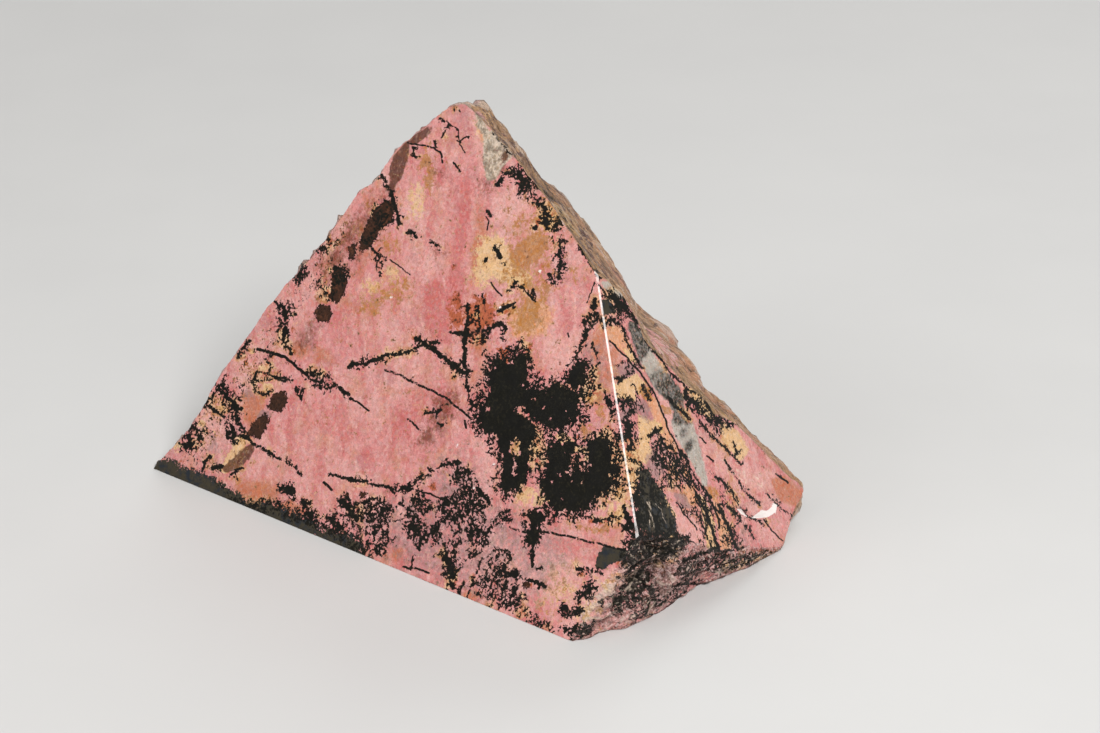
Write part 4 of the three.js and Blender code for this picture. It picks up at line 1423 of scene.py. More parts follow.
class Plane:
    """A sawn face, with two directions in it."""

    def __init__(self, name, normal, offset):
        self.name = name
        self.normal = np.array(normal, float)
        self.offset = offset
        level = abs(self.normal[2]) > 0.9
        self.across = np.array([1.0, 0, 0]) if level else unit(np.cross([0, 0, 1.0], self.normal))
        self.up = np.cross(self.normal, self.across)

    def height(self, points):
        return points @ self.normal - self.offset

    def holds(self, points):
        return np.abs(self.height(points)) < SAME_PLANE

    def flat(self, points):
        return np.column_stack([points @ self.across, points @ self.up])

    def place(self, flat):
        return flat[:, :1] * self.across + flat[:, 1:] * self.up + self.offset * self.normal


def plane_of(points, triangles, normal):
    """How far out the sawn plane lies that faces a given way."""
    normals, areas = triangle_normals(points, triangles)
    flat = np.flatnonzero(normals @ normal > SAME_FACING)
    largest = flat[np.argmax(areas[flat])]
    return float(points[triangles[largest, 0]] @ normal)


def sawn_planes(points, triangles):
    main, side = facing(*MAIN_FACING), facing(*SIDE_FACING)
    return [
        Plane("main", main, plane_of(points, triangles, main)),
        Plane("side", side, plane_of(points, triangles, side)),
        Plane("base", (0, 0, -1), 0.0),
    ]


def on_saw_cuts(points, triangles, planes, ridge_normal):
    """Which triangles lie in a sawn plane or on the eased ridge."""
    normals, _ = triangle_normals(points, triangles)
    sawn = normals @ ridge_normal > SAME_FACING
    for plane in planes:
        sawn |= plane.holds(points)[triangles].all(axis=1) & (normals @ plane.normal > 0.9)
    return sawn


# The broken surface

def edge_lengths(points, rough, main, side):
    """How long an edge of the broken surface may be at any place."""
    toward = unit(np.array(CAMERA_PLACE) - np.array([0, 0, 25 * MM]))
    normals = vertex_normals(points, rough)
    used = np.unique(rough)
    nearest = tree_of(points[used])

    def longest(place):
        """Finer where the camera sees the broken surface, and along the polished faces' rims."""
        seen = float(normals[used[nearest.find(place)[1]]] @ toward)
        if seen > 0 and place.x > 0 and place.y < 0 and place.z < BREAK_TOP:
            if inside_outline(photo_pixels(np.array([place]))[0], BREAK_IN_VIEW):
                return EDGE_IN_BREAK
        near_face = min(abs(float(plane.height(np.array(place)))) for plane in (main, side))
        return EDGE_IN_VIEW if seen > 0.3 or near_face < BESIDE_FACE else EDGE_BEHIND

    return longest


def grown_noise(point, size, octaves):
    """Fractal noise between about -1 and 1, whose largest lumps are size across."""
    return noise.fractal(Vector(point) / size, 1.0, 2.1, octaves)


def grain_seeds(points):
    """The middle of each grain and the way its broken face leans, for every size of grain."""
    low, high = points.min(axis=0), points.max(axis=0)
    grains = {}
    for size in GRAIN_FACETS:
        count = int(np.prod(high - low + size) / size**3)
        seeds = SHAPE_RANDOM.uniform(low - size / 2, high + size / 2, (count, 3))
        leans = SHAPE_RANDOM.normal(0, 1, (count, 3))
        grains[size] = (tree_of(seeds), leans / np.linalg.norm(leans, axis=1)[:, None])
    return grains


def facet_height(point, nearest, leans):
    """The height of the grain that a point lies on, blended at its edges with its neighbours'."""
    farthest = nearest[-1][2]
    total = weights = 0.0
    for at, which, distance in nearest:
        weight = (1 - distance / farthest) ** 4
        total += weight * float((point - np.array(at)) @ leans[which])
        weights += weight
    return total / max(weights, 1e-12)


def relief(point, grains, weathered):
    """How far the broken surface stands out at a point: lumps, grain facets, ledges and roughness."""
    height = LUMPS * grown_noise(point, 5 * MM, 5)
    for size, slope in GRAIN_FACETS.items():
        tree, leans = grains[size]
        height += slope * facet_height(point, tree.find_n(point, 5), leans)
    level = (point @ LEDGE_DIRECTION) / LEDGE_SPACING + 0.5 * grown_noise(point, 7 * MM, 3)
    height += LEDGE_HEIGHT * smooth_step(level - math.floor(level), 0.0, 0.75)
    height *= 1 - (1 - RIND_RELIEF) * weathered
    return height + GRAINS_IN_BREAK * (grown_noise(point, 0.9 * MM, 3) + abs(grown_noise(point, 2.2 * MM, 2)))


def depth_of_hollows(points, normals):
    """How deep the hollows in view are at each point."""
    pixels = photo_pixels(points)
    toward = np.array(CAMERA_PLACE) - points
    seen = np.einsum("ij,ij->i", normals, toward) > 0.1 * np.linalg.norm(toward, axis=1)
    depth = np.zeros(len(points))
    for deep, half_width, half_height, lean, *places in HOLLOWS.values():
        for place in places:
            squared = oval(*(pixels - place).T, half_width, half_height, lean)
            depth += deep * MM * np.exp(-1.2 * squared**1.5)
    return depth * seen


def break_up(points, normals, rim_tree):
    """The broken surface moved out and in along its normals, and left as it is at the saw cuts."""
    hollow = depth_of_hollows(points, normals)
    weathered = smooth_step(normals @ RIND_FACING, 0.55, 0.8)
    grains = grain_seeds(points)
    moved = points.copy()
    for index, (point, normal) in enumerate(zip(points, normals)):
        fade = min(1.0, rim_tree.find(point)[2] / FADE_AT_SAW_CUT)
        if fade > 0:
            height = relief(point, grains, weathered[index]) - hollow[index]
            moved[index] = point + normal * height * fade
    return moved


def ragged_edges(points, rim, planes, pinned):
    """Chips the rims of the sawn faces, each within its own plane and less towards its corners."""
    on_planes = {index: [plane for plane in planes if plane.holds(points[index])] for index in rim}
    corners = tree_of([points[index] for index, on in on_planes.items() if len(on) != 1 or index in pinned])
    for index, on in on_planes.items():
        if index in pinned or len(on) != 1:
            continue
        here = Vector(points[index])
        fade = min(1.0, corners.find(here)[2] / FADE_AT_CORNER)
        broad, fine = (np.array(noise.noise_vector(here / size)) for size in (2.6 * MM, 0.8 * MM))
        shift = broad + 0.5 * fine
        shift -= on[0].normal * (shift @ on[0].normal)
        quiet = 0.35 + 1.3 * max(0.0, grown_noise(here, 6 * MM, 2))
        points[index] += shift * RAGGED * fade * min(1.0, quiet)
        points[index][2] = max(points[index][2], 0)


def keep_behind(points, planes, rim):
    """Pushes the broken surface back where it would come through a sawn face."""
    free = np.ones(len(points), bool)
    free[rim] = False
    for plane in planes:
        over = plane.height(points) + SAW_CLEARANCE
        push = free & (over > 0)
        points[push] -= over[push][:, None] * plane.normal


# The sawn faces

def chip_depth(points, sheet):
    """A bowl inside each chip's outline."""
    depth = max(deep for deep, *_ in CHIPS.values()) * MM
    return depth * smooth_step(sheet.read("chip", photo_pixels(points), -sheet.REACH), 0.0, 5.0)


def needed(pixels, row, column, sheet):
    """Which places of a fine grid are wanted: all beside a dark edge, fewer farther from it."""
    edge = np.full(len(pixels), 99.0)
    for name in ("black", "line", "brown"):
        edge = np.minimum(edge, np.abs(sheet.read(name, pixels, -sheet.REACH)))
    edge = np.where(sheet.read("chip", pixels, -sheet.REACH) > -1, 0, edge)
    soft = sheet.read("moss", pixels, 0) > 0.05
    every_second = (row % 2 == 0) & (column % 2 == 0)
    every_fourth = (row % 4 == 0) & (column % 4 == 0)
    return (edge < 1.3) | ((edge < 3.5) | soft) & every_second | every_fourth


def grid_points(plane, rim, spacing, sheet):
    """Places for the vertices of a sawn face: close together where a dark edge needs them."""
    flat_rim = plane.flat(rim)
    low, high = flat_rim.min(axis=0), flat_rim.max(axis=0)
    rows = np.arange(low[1], high[1], spacing * ROW_SPACING)
    columns = np.arange(low[0], high[0], spacing)
    across, up = np.meshgrid(columns, rows)
    across = across + (np.arange(len(rows)) % 2)[:, None] * spacing / 2
    flat = np.column_stack([across.ravel(), up.ravel()])
    if sheet is not None:
        row, column = np.indices(across.shape)
        flat = flat[needed(photo_pixels(plane.place(flat)), row.ravel(), column.ravel(), sheet)]
    return flat + SHAPE_RANDOM.uniform(-0.12, 0.12, flat.shape) * spacing


def in_polygon(flat, edges):
    """Which places lie inside the closed lines."""
    inside = np.zeros(len(flat), bool)
    for (ax, ay), (bx, by) in edges:
        if ay != by:
            low, high = min(ay, by), max(ay, by)
            near = np.flatnonzero((flat[:, 1] >= low) & (flat[:, 1] < high))
            hit = flat[near, 0] < ax + (flat[near, 1] - ay) * (bx - ax) / (by - ay)
            inside[near[hit]] ^= True
    return inside


def fill_face(plane, points, edges, spacing, sheet):
    """Triangles over a sawn face between its rim's vertices and a grid. Returns new points and triangles."""
    rim = np.unique(edges)
    number = {vertex: place for place, vertex in enumerate(rim)}
    flat_rim = plane.flat(points[rim])
    flat_grid = grid_points(plane, points[rim], spacing, sheet)
    rim_edges = [(number[a], number[b]) for a, b in edges]
    flat_grid = flat_grid[in_polygon(flat_grid, [(flat_rim[a], flat_rim[b]) for a, b in rim_edges])]
    tree = tree_of([(*place, 0) for place in flat_rim])
    clear = [tree.find((*place, 0))[2] > GRID_CLEARANCE for place in flat_grid]
    flat = np.vstack([flat_rim, flat_grid[np.array(clear)]])
    scale = 1 / MM
    made, made_edges, faces, origin, edge_origin, _ = geometry.delaunay_2d_cdt(
        [Vector(place * scale) for place in flat], rim_edges, [], 1, 1e-7, True
    )
    new_points = plane.place(np.array([tuple(place) for place in made]) / scale)
    index = np.empty(len(made), int)
    fresh = []
    for place, sources in enumerate(origin):
        if sources and sources[0] < len(rim):
            index[place] = rim[sources[0]]
        else:
            index[place] = len(points) + len(fresh)
            fresh.append(new_points[place])
    walls = {frozenset(edge) for edge, source in zip(made_edges, edge_origin) if source}
    return np.array(fresh).reshape(-1, 3), index[within_rim(np.array(faces), walls)]


def within_rim(triangles, rim):
    """Drops the triangles outside the rim: all that can be reached from the hull without crossing it."""
    owners = {}
    for number, (a, b, c) in enumerate(triangles.tolist()):
        for pair in ((a, b), (b, c), (c, a)):
            owners.setdefault(frozenset(pair), []).append(number)
    keep = np.ones(len(triangles), bool)
    waiting = [found[0] for pair, found in owners.items() if len(found) == 1 and pair not in rim]
    while waiting:
        number = waiting.pop()
        if keep[number]:
            keep[number] = False
            a, b, c = triangles[number].tolist()
            for pair in ((a, b), (b, c), (c, a)):
                if frozenset(pair) not in rim:
                    waiting += owners[frozenset(pair)]
    return triangles[keep]


# The ridge

def ridge_line(on_ridge, direction, inward, start_point, end_point):
    """A line beside the ridge in one polished face, which meets the stone's own corners at its ends."""
    start, end = (float((point - on_ridge) @ direction) for point in (start_point, end_point))
    gaps = [float((point - on_ridge) @ inward) for point in (start_point, end_point)]
    count = int(abs(end - start) / RIDGE_STEP)
    line = []
    for step in range(1, count):
        at = start + (end - start) * step / count
        gap = RIDGE_WIDTH / math.sqrt(2)
        for own_gap, distance in zip(gaps, (abs(at - start), abs(at - end))):
            gap += (own_gap - gap) * math.exp(-((distance / RIDGE_TAPER) ** 2))
        line.append(on_ridge + direction * at + inward * gap)
    return np.array(line)


def build_ridge(points, ridge_ends, main, side, ridge_normal):
    """The eased ridge: a row of vertices in each polished face and a strip of triangles between them."""
    ends = sorted(chains(ridge_ends), key=lambda chain: -points[chain][:, 2].mean())
    top, bottom = (from_main_to_side(chain, points, main) for chain in ends)
    direction = unit(np.cross(main.normal, side.normal))
    direction = direction if direction[2] > 0 else -direction
    on_ridge = np.linalg.solve(
        np.array([main.normal, side.normal, direction]), np.array([main.offset, side.offset, 0.0])
    )
    rows = []
    for plane, other, end in ((main, side, 0), (side, main, -1)):
        inward = np.cross(plane.normal, direction)
        inward *= np.sign(inward @ -other.normal)
        line = ridge_line(on_ridge, direction, inward, points[top[end]], points[bottom[end]])
        rows.append([top[end], *range(len(points), len(points) + len(line)), bottom[end]])
        points = np.vstack([points, line])
    return points, strip(*rows, points, (top, bottom), ridge_normal), rows


def chains(edges):
    """Joins loose edges into lists of vertices."""
    edges = [tuple(edge) for edge in edges]
    found = []
    while edges:
        chain = list(edges.pop())
        grown = True
        while grown:
            grown = False
            for edge in edges:
                for end, other in (edge, edge[::-1]):
                    if chain[-1] == end:
                        chain.append(other)
                    elif chain[0] == end:
                        chain.insert(0, other)
                    else:
                        continue
                    edges.remove(edge)
                    grown = True
                    break
                if grown:
                    break
        found.append(chain)
    return found


def from_main_to_side(chain, points, main):
    """A chain across the ridge, turned so that it starts on the main face."""
    return chain if abs(main.height(points[chain[0]])) < abs(main.height(points[chain[-1]])) else chain[::-1]


def strip(left, right, points, ends, outward):
    """Triangles between the two ridge lines, closed at both ends against the short chains."""
    faces = []
    i, j = 0, 0
    while i < len(left) - 1 or j < len(right) - 1:
        left_share = (i + 1) / (len(left) - 1) if i < len(left) - 1 else 9
        right_share = (j + 1) / (len(right) - 1) if j < len(right) - 1 else 9
        if left_share <= right_share:
            faces.append((left[i], left[i + 1], right[j]))
            i += 1
        else:
            faces.append((left[i], right[j + 1], right[j]))
            j += 1
    for chain in ends:
        faces += [(chain[0], a, b) for a, b in pairs(chain[1:])]
    faces = np.array(faces)
    normals, _ = triangle_normals(points, faces)
    wrong = normals @ outward < 0
    faces[wrong] = faces[wrong][:, ::-1]
    return faces


# The stone

def add_foot(points, start, end):
    """A straight row of vertices between two corners of the base."""
    along_it = points[end] - points[start]
    count = max(2, int(np.linalg.norm(along_it) / EDGE_IN_VIEW))
    row = [start, *range(len(points), len(points) + count - 1), end]
    steps = np.arange(1, count)[:, None] / count
    return np.vstack([points, points[start] + along_it * steps]), row


def build_stone(sheet):
    """The stone's points, and the triangles of each surface."""
    points, triangles = cad_mesh()
    planes = sawn_planes(points, triangles)
    main, side, base = planes
    ridge_normal = unit(main.normal + side.normal)
    rough = triangles[~on_saw_cuts(points, triangles, planes, ridge_normal)]

    points, rough = refine(points, rough, edge_lengths(points, rough, main, side))
    border = open_edges(rough)
    rim = np.unique(border)
    fixed = np.zeros(len(points), bool)
    fixed[rim] = True
    points = relax(points, rough, fixed, 2)
    flat = {plane.name: plane.holds(points) for plane in planes}
    rims = {name: [tuple(edge) for edge in border[held[border].all(axis=1)]] for name, held in flat.items()}
    ridge_ends = [edge for edge in border if not any(held[edge].all() for held in flat.values())]
    ragged_edges(points, rim, planes, set(np.array(ridge_ends).ravel().tolist()))

    normals = vertex_normals(points, rough)
    used = np.unique(rough)
    points[used] = break_up(points[used], normals[used], tree_of(points[rim]))
    keep_behind(points, planes, rim)

    points, ridge, rows = build_ridge(points, ridge_ends, main, side, ridge_normal)
    for name, row in zip(("main", "side"), rows):
        rims[name] += pairs(row)
    for name in ("main", "side"):
        corners = [vertex for vertex in rim if flat["base"][vertex] and flat[name][vertex]]
        if len(corners) == 2:
            points, row = add_foot(points, *corners)
            rims[name] += pairs(row)
            rims["base"] += pairs(row)

    parts = {"broken": rough, "ridge": ridge}
    for plane in planes:
        spacing, drawing = (BASE_GRID, None) if plane is base else (GRID, sheet)
        fresh, faces = fill_face(plane, points, rims[plane.name], spacing, drawing)
        if plane is side:
            fresh = fresh - chip_depth(fresh, sheet)[:, None] * plane.normal
        points = np.vstack([points, fresh])
        parts[plane.name] = faces
    return points, parts


def stone_object(sheet):
    points, parts = build_stone(sheet)
    triangles = np.vstack([parts[name] for name in MATERIAL_OF])
    kinds = np.concatenate([np.full(len(parts[name]), kind) for name, kind in MATERIAL_OF.items()])
    used = np.unique(triangles)
    renumber = np.full(len(points), -1)
    renumber[used] = np.arange(len(used))
    points, triangles = points[used], renumber[triangles]

    mesh = bpy.data.meshes.new("rhodonite_stone")
    mesh.vertices.add(len(points))
    mesh.vertices.foreach_set("co", points.ravel())
    mesh.loops.add(len(triangles) * 3)
    mesh.loops.foreach_set("vertex_index", triangles.ravel())
    mesh.polygons.add(len(triangles))
    mesh.polygons.foreach_set("loop_start", np.arange(len(triangles)) * 3)
    mesh.polygons.foreach_set("material_index", kinds)
    mesh.polygons.foreach_set("use_smooth", kinds == BROKEN)
    mesh.update(calc_edges=True)
    mesh.validate()
    face_outwards(mesh)
    paint_marks(mesh, points, triangles, kinds, sheet)
    stone = bpy.data.objects.new("rhodonite_stone", mesh)
    bpy.context.scene.collection.objects.link(stone)
    for material in (polished("polished_rhodonite", 0), broken(), sawn(), polished("worn_ridge", 0.5)):
        mesh.materials.append(material)
    return stone


def face_outwards(mesh):
    """Turns every face of a closed mesh outwards."""
    working = bmesh.new()
    working.from_mesh(mesh)
    bmesh.ops.recalc_face_normals(working, faces=working.faces)
    working.to_mesh(mesh)
    working.free()


def write(mesh, name, values):
    mesh.attributes.new(name, "FLOAT", "POINT").data.foreach_set("value", np.asarray(values, np.float32))


def corners_of(triangles, count):
    """Which vertices some triangles touch."""
    touched = np.zeros(count, bool)
    touched[triangles.ravel()] = True
    return touched


def paint_marks(mesh, points, triangles, kinds, sheet):
    """Writes each marking's field to the vertices, for the materials to read."""
    pixels = photo_pixels(points)
    on_polish = corners_of(triangles[kinds == POLISHED], len(points))
    on_base = corners_of(triangles[kinds == SAWN], len(points))
    toward = np.array(CAMERA_PLACE) - points
    toward /= np.linalg.norm(toward, axis=1)[:, None]
    normals = vertex_normals(points, triangles)
    turned_away = 1 - smooth_step(np.einsum("ij,ij->i", normals, toward), 0.08, 0.22)
    wild = np.where(on_polish, 0.0, turned_away)
    wild = np.where(on_base & ~on_polish, 1.0, wild)
    for name, field in sheet.fields.items():
        hard = field.min() < 0
        values = sheet.read(name, pixels, -sheet.REACH if hard else 0)
        if hard:
            values = np.clip(values, -HARD_LIMIT, HARD_LIMIT)
        values = np.where(wild > 0.5, -HARD_LIMIT if hard else 0.0, values)
        write(mesh, name, values)
    write(mesh, "wild", wild)
    # Depth below the surroundings, from which the broken material paints shade in pits and highlight on
    # crests
    depth = pits(points, triangles, normals) * (1 - PITS_BEHIND * wild)
    write(mesh, "pit", np.where(on_polish | on_base, 0.0, depth))
    in_break = sheet.read("break", pixels, 0) * (1 - wild)
    weathered = smooth_step(normals @ RIND_FACING, 0.3, 0.5) * (1 - in_break)
    write(mesh, "rind", np.where(on_polish | on_base, 0.0, weathered))


def pits(points, triangles, normals):
    """How far each vertex lies below its surroundings, in tenths of a millimetre."""
    smooth = relax(points, triangles, np.zeros(len(points), bool), 8)
    return np.einsum("ij,ij->i", smooth - points, normals) / (0.1 * MM)


# Materials

class Nodes:
    """Short ways to add shader nodes to one material. A value is a number, a colour or a socket."""

    def __init__(self, name):
        self.material = bpy.data.materials.new(name)
        self.material.use_nodes = True
        self.tree = self.material.node_tree
        self.shader = self.tree.nodes["Principled BSDF"]
        place = self.add("ShaderNodeVectorMath", operation="SCALE")
        self.link(self.add("ShaderNodeTexCoord").outputs["Object"], place.inputs[0])
        place.inputs["Scale"].default_value = 1 / MM
        self.position = place.outputs[0]
        self.colour = None

    def add(self, kind, **settings):
        node = self.tree.nodes.new(kind)
        for key, value in settings.items():
            setattr(node, key, value)
        return node

    def link(self, value, socket):
        if isinstance(value, bpy.types.NodeSocket):
            self.tree.links.new(value, socket)
        elif isinstance(value, tuple):
            socket.default_value = (*value, 1.0) if len(socket.default_value) == 4 else value
        else:
            socket.default_value = value

    def shade(self, name, value):
        """Sets one value of the shader itself."""
        self.link(value, self.shader.inputs[name])

    def attribute(self, name):
        return self.add("ShaderNodeAttribute", attribute_name=name).outputs["Fac"]

    def math(self, operation, first, second=0.0):
        node = self.add("ShaderNodeMath", operation=operation)
        self.link(first, node.inputs[0])
        self.link(second, node.inputs[1])
        return node.outputs[0]

    def plus(self, first, second):
        return self.math("ADD", first, second)

    def minus(self, first, second):
        return self.math("SUBTRACT", first, second)

    def times(self, *values):
        product = values[-1]
        for value in values[-2::-1]:
            product = self.math("MULTIPLY", value, product)
        return product

    def most(self, first, second):
        return self.math("MAXIMUM", first, second)

    def noise(self, size, detail=3.0, roughness=0.55, shift=0.0, position=None, distortion=0.0):
        """Noise whose lumps are about size millimetres across, around 0.5."""
        node = self.add("ShaderNodeTexNoise")
        node.inputs["Scale"].default_value = 1 / size
        node.inputs["Detail"].default_value = detail
        node.inputs["Roughness"].default_value = roughness
        node.inputs["Distortion"].default_value = distortion
        moved = self.add("ShaderNodeVectorMath", operation="ADD")
        self.link(position or self.position, moved.inputs[0])
        moved.inputs[1].default_value = (shift, shift * 0.7, shift * 1.3)
        self.link(moved.outputs[0], node.inputs["Vector"])
        return node.outputs["Fac"]

    def cells(self, size):
        """Grains of a size in millimetres: their own colours, and the distance from their middles."""
        node = self.add("ShaderNodeTexVoronoi")
        node.inputs["Scale"].default_value = 1 / size
        self.link(self.position, node.inputs["Vector"])
        return node.outputs

    def grains(self, size):
        """Three random numbers for each grain."""
        split = self.add("ShaderNodeSeparateColor")
        self.link(self.cells(size)["Color"], split.inputs[0])
        return split.outputs

    def step(self, value, low, high, to_low=0.0, to_high=1.0):
        node = self.add("ShaderNodeMapRange", interpolation_type="SMOOTHSTEP")
        self.link(value, node.inputs["Value"])
        for name, number in (("From Min", low), ("From Max", high), ("To Min", to_low), ("To Max", to_high)):
            node.inputs[name].default_value = number
        return node.outputs[0]

    def mix(self, share, first, second):
        node = self.add("ShaderNodeMix", data_type="RGBA")
        for value, socket in ((share, 0), (first, 6), (second, 7)):
            self.link(value, node.inputs[socket])
        return node.outputs[2]

    def lay(self, colour, *shares):
        """Lays a colour over what is there, as strongly as the shares multiplied together."""
        self.colour = self.mix(self.times(*shares), self.colour, colour)

    def drawn_out(self, direction, times):
        """The position, pressed together along one direction, so that noise is longer that way."""
        node = self.add("ShaderNodeMapping", vector_type="TEXTURE")
        node.inputs["Rotation"].default_value = Vector(direction).to_track_quat("X", "Z").to_euler()
        node.inputs["Scale"].default_value = (times, 1, 1)
        self.link(self.position, node.inputs["Vector"])
        return node.outputs[0]

    def swing(self, value, amount):
        """Noise around 0.5 turned into noise around 0, of a given strength."""
        return self.times(self.minus(value, 0.5), amount)

    def swung(self, value, noise_value, amount):
        """A value that wavers with the noise."""
        return self.plus(value, self.swing(noise_value, amount))

    def bump(self, height, distance, strength):
        node = self.add("ShaderNodeBump")
        node.inputs["Strength"].default_value = strength
        node.inputs["Distance"].default_value = distance
        self.link(height, node.inputs["Height"])
        self.shade("Normal", node.outputs[0])


# Patches of colour on the pinks. Field, noise of its edge, swing, from, to, strength, colour,
# and where the photograph shows nothing: size, detail and shift of the patches, and from and to
TINTS = (
    ("rose", "rough_edge", 2.0, 0.15, 0.8, 0.75, ROSE_RED, None),
    ("pale", "rough_edge", 2.0, 0.2, 0.8, 0.7, PALE_PINK, None),
    ("salmon", "middle", 1.2, 0.15, 0.65, 0.85, SALMON_PINK, (12, 2, 71, 0.54, 0.66)),
    ("peach", "rough_edge", 2.0, 0.3, 0.7, 0.85, PEACH, None),
    ("cream", "rough_edge", 3.2, 0.22, 0.6, 0.85, CREAM_YELLOW, (8, 3, 53, 0.58, 0.7)),
    ("ochre", "rough_edge", 3.2, 0.22, 0.62, 0.85, OCHRE_BROWN, (7, 3, 29, 0.6, 0.72)),
    ("mauve", "rough_edge", 2.6, 0.2, 0.7, 0.7, LILAC_GREY, None),
)


class Rock(Nodes):
    """The rock anywhere in the stone, from its light minerals to its black oxide."""

    def __init__(self, name):
        super().__init__(name)
        self.wild = self.attribute("wild")
        self.in_view = self.minus(1.0, self.wild)
        self.only_wild = self.times(self.minus(self.wild, 1), 4)
        self.middle = self.noise(2.6, 4, 0.6, 5)
        self.small = self.noise(1.0, 4, 0.65, 9)
        self.fine = self.noise(0.34, 3, 0.6, 3)
        self.finest = self.noise(0.17, 2, 0.6, 17)
        self.rough_edge = self.plus(self.times(self.small, 0.6), self.times(self.fine, 0.4))
        self.lay_pinks()
        self.lay_tints()
        self.lay_quartz()
        self.lay_grain()
        self.lay_rust()
        self.lay_brown_blocks()
        self.grow_oxide()
        self.lay_rims()
        self.lay_oxide()

    def amount(self, name, noise_value, swing, low, high, elsewhere=None):
        """How much of a mark there is, with an uneven edge."""
        value = self.attribute(name)
        if elsewhere is not None:
            value = self.most(value, self.times(elsewhere, self.wild))
        return self.step(self.swung(value, noise_value, swing), low, high)

    def lay_pinks(self):
        clouds = self.step(self.noise(8, 4, 0.6), 0.44, 0.66)
        self.colour = self.mix(self.times(clouds, 0.6), PINK, PALE_PINK)
        bands = self.noise(2.4, 4, 0.62, 37, self.drawn_out(STONE_GRAIN, 3.2))
        bands = self.plus(self.times(bands, self.in_view), self.times(self.middle, self.wild))
        self.lay(ROSE_RED, self.step(bands, 0.47, 0.62), 0.58)
        self.lay(TAN, self.step(self.noise(4, 4, 0.65, 41), 0.5, 0.68), 0.55)
        self.lay(MAUVE, self.step(self.noise(6, 3, 0.6, 63), 0.54, 0.7), 0.5)
        flames = self.noise(1.6, 4, 0.65, 21, self.drawn_out(STONE_GRAIN, 3), 0.6)
        self.lay(PALE_PINK, self.step(flames, 0.53, 0.64), 0.68)

    def lay_tints(self):
        for name, edge, swing, low, high, strength, colour, unseen in TINTS:
            elsewhere = None
            if unseen:
                size, detail, shift, start, end = unseen
                elsewhere = self.step(self.noise(size, detail, 0.5, shift), start, end)
            self.lay(colour, self.amount(name, getattr(self, edge), swing, low, high, elsewhere), strength)
        strip = self.mix(self.step(self.rough_edge, 0.42, 0.6), RIND_PINK, RIND_TAN)
        self.lay(strip, self.amount("tan", self.rough_edge, 1, 0.35, 0.6))
        self.lay(SMOKE_BROWN, self.amount("smoke", self.rough_edge, 2.6, 0.1, 0.75), 0.85)
        sand = self.mix(self.step(self.rough_edge, 0.4, 0.6), SAND, SAND_DARK)
        self.lay(sand, self.amount("sand", self.rough_edge, 2, 0.3, 0.8))
        umber = self.mix(self.step(self.small, 0.42, 0.62), UMBER, GARNET_LIGHT)
        self.lay(umber, self.amount("umber", self.rough_edge, 2, 0.3, 0.8), 0.9)
        islands = self.amount("halo", self.noise(2.4, 4, 0.6, 91), 4.4, 1.05, 1.2)
        self.lay(self.mix(self.step(self.middle, 0.46, 0.54), CREAM_YELLOW, OCHRE_BROWN), islands, 0.8)

    def lay_quartz(self):
        """Pale grey quartz with smoky parts."""
        elsewhere = self.step(self.noise(14, 2, 0.5, 97), 0.63, 0.68, -4, 4)
        elsewhere = self.plus(self.times(elsewhere, self.wild), self.only_wild)
        field = self.most(self.attribute("quartz"), elsewhere)
        smoky = self.amount("dark_quartz", self.middle, 2.0, 0.15, 0.8)
        grey = self.mix(smoky, QUARTZ_GREY, QUARTZ_SMOKE)
        grey = self.mix(self.step(self.rough_edge, 0.42, 0.62), grey, self.mix(0.24, grey, WHITE_CHIP_AND_GLINT))
        self.lay(grey, self.step(self.swung(field, self.rough_edge, 11), -1.6, 0.6))

    def lay_grain(self):
        """Threads, pale and dark flecks, and grains that each have their own tint."""
        threads = self.noise(0.5, 4, 0.7, 2, self.drawn_out(THREAD_GRAIN, 4))
        self.lay(self.mix(0.5, PALE_PINK, CREAM_YELLOW), self.step(threads, 0.55, 0.7), 0.3)
        self.lay(CREAM_YELLOW, self.step(self.fine, 0.58, 0.7), 0.34)
        dark = self.step(self.noise(0.3, 3, 0.6, 57), 0.56, 0.72)
        self.lay(self.mix(0.4, ROSE_RED, SMOKE_BROWN), dark, 0.45)
        tint = self.add("ShaderNodeHueSaturation")
        self.link(self.colour, tint.inputs["Color"])
        grain = self.grains(0.42)
        lightness = self.plus(0.87, self.times(grain[0], 0.18))
        self.link(self.swung(lightness, self.finest, 0.7), tint.inputs["Value"])
        self.link(self.plus(0.9, self.times(grain[1], 0.2)), tint.inputs["Saturation"])
        self.colour = tint.outputs[0]

    def lay_rust(self):
        patches = self.amount("rust", self.rough_edge, 3.6, 0.35, 0.75)
        streaks = self.amount("rusty", self.fine, 5, -0.5, 0.5)
        rust = self.mix(self.step(self.rough_edge, 0.5, 0.64), RUST_RED, RUST_BLACK)
        self.lay(rust, self.most(patches, streaks), 0.9)

    def lay_brown_blocks(self):
        """Brown glassy blocks with dark rims."""
        uneven = self.plus(self.swing(self.rough_edge, 10), self.swing(self.fine, 5))
        field = self.plus(self.attribute("brown"), uneven)
        self.brown = self.step(field, -0.6, 0.3)
        block = self.mix(self.step(self.small, 0.5, 0.7), GARNET_BROWN, GARNET_LIGHT)
        block = self.mix(self.step(field, 0.3, 1.6, 0.8, 0.0), block, BLACK_DEEP)
        block = self.mix(self.times(self.step(self.fine, 0.5, 0.62), 0.5), block, BLACK_OXIDE)
        self.lay(block, self.brown)

    def crack_field(self, size, detail, roughness, shift, level, width, sharpness):
        """A black sheet through the stone, where the noise crosses a level: pixels inside it."""
        bend = self.noise(size, detail, roughness, shift)
        off = self.math("ABSOLUTE", self.minus(bend, level))
        return self.minus(width, self.times(off, sharpness))

    def wild_cracks(self):
        """Cracks where the photograph shows nothing."""
        sheets = self.most(
            self.crack_field(19, 2, 0.4, 31, 0.5, 1.6, 170), self.crack_field(15, 2, 0.45, 87, 0.47, 1.0, 150)
        )
        return self.minus(self.swung(sheets, self.noise(9, 3, 0.6, 11), 12), 0.6)

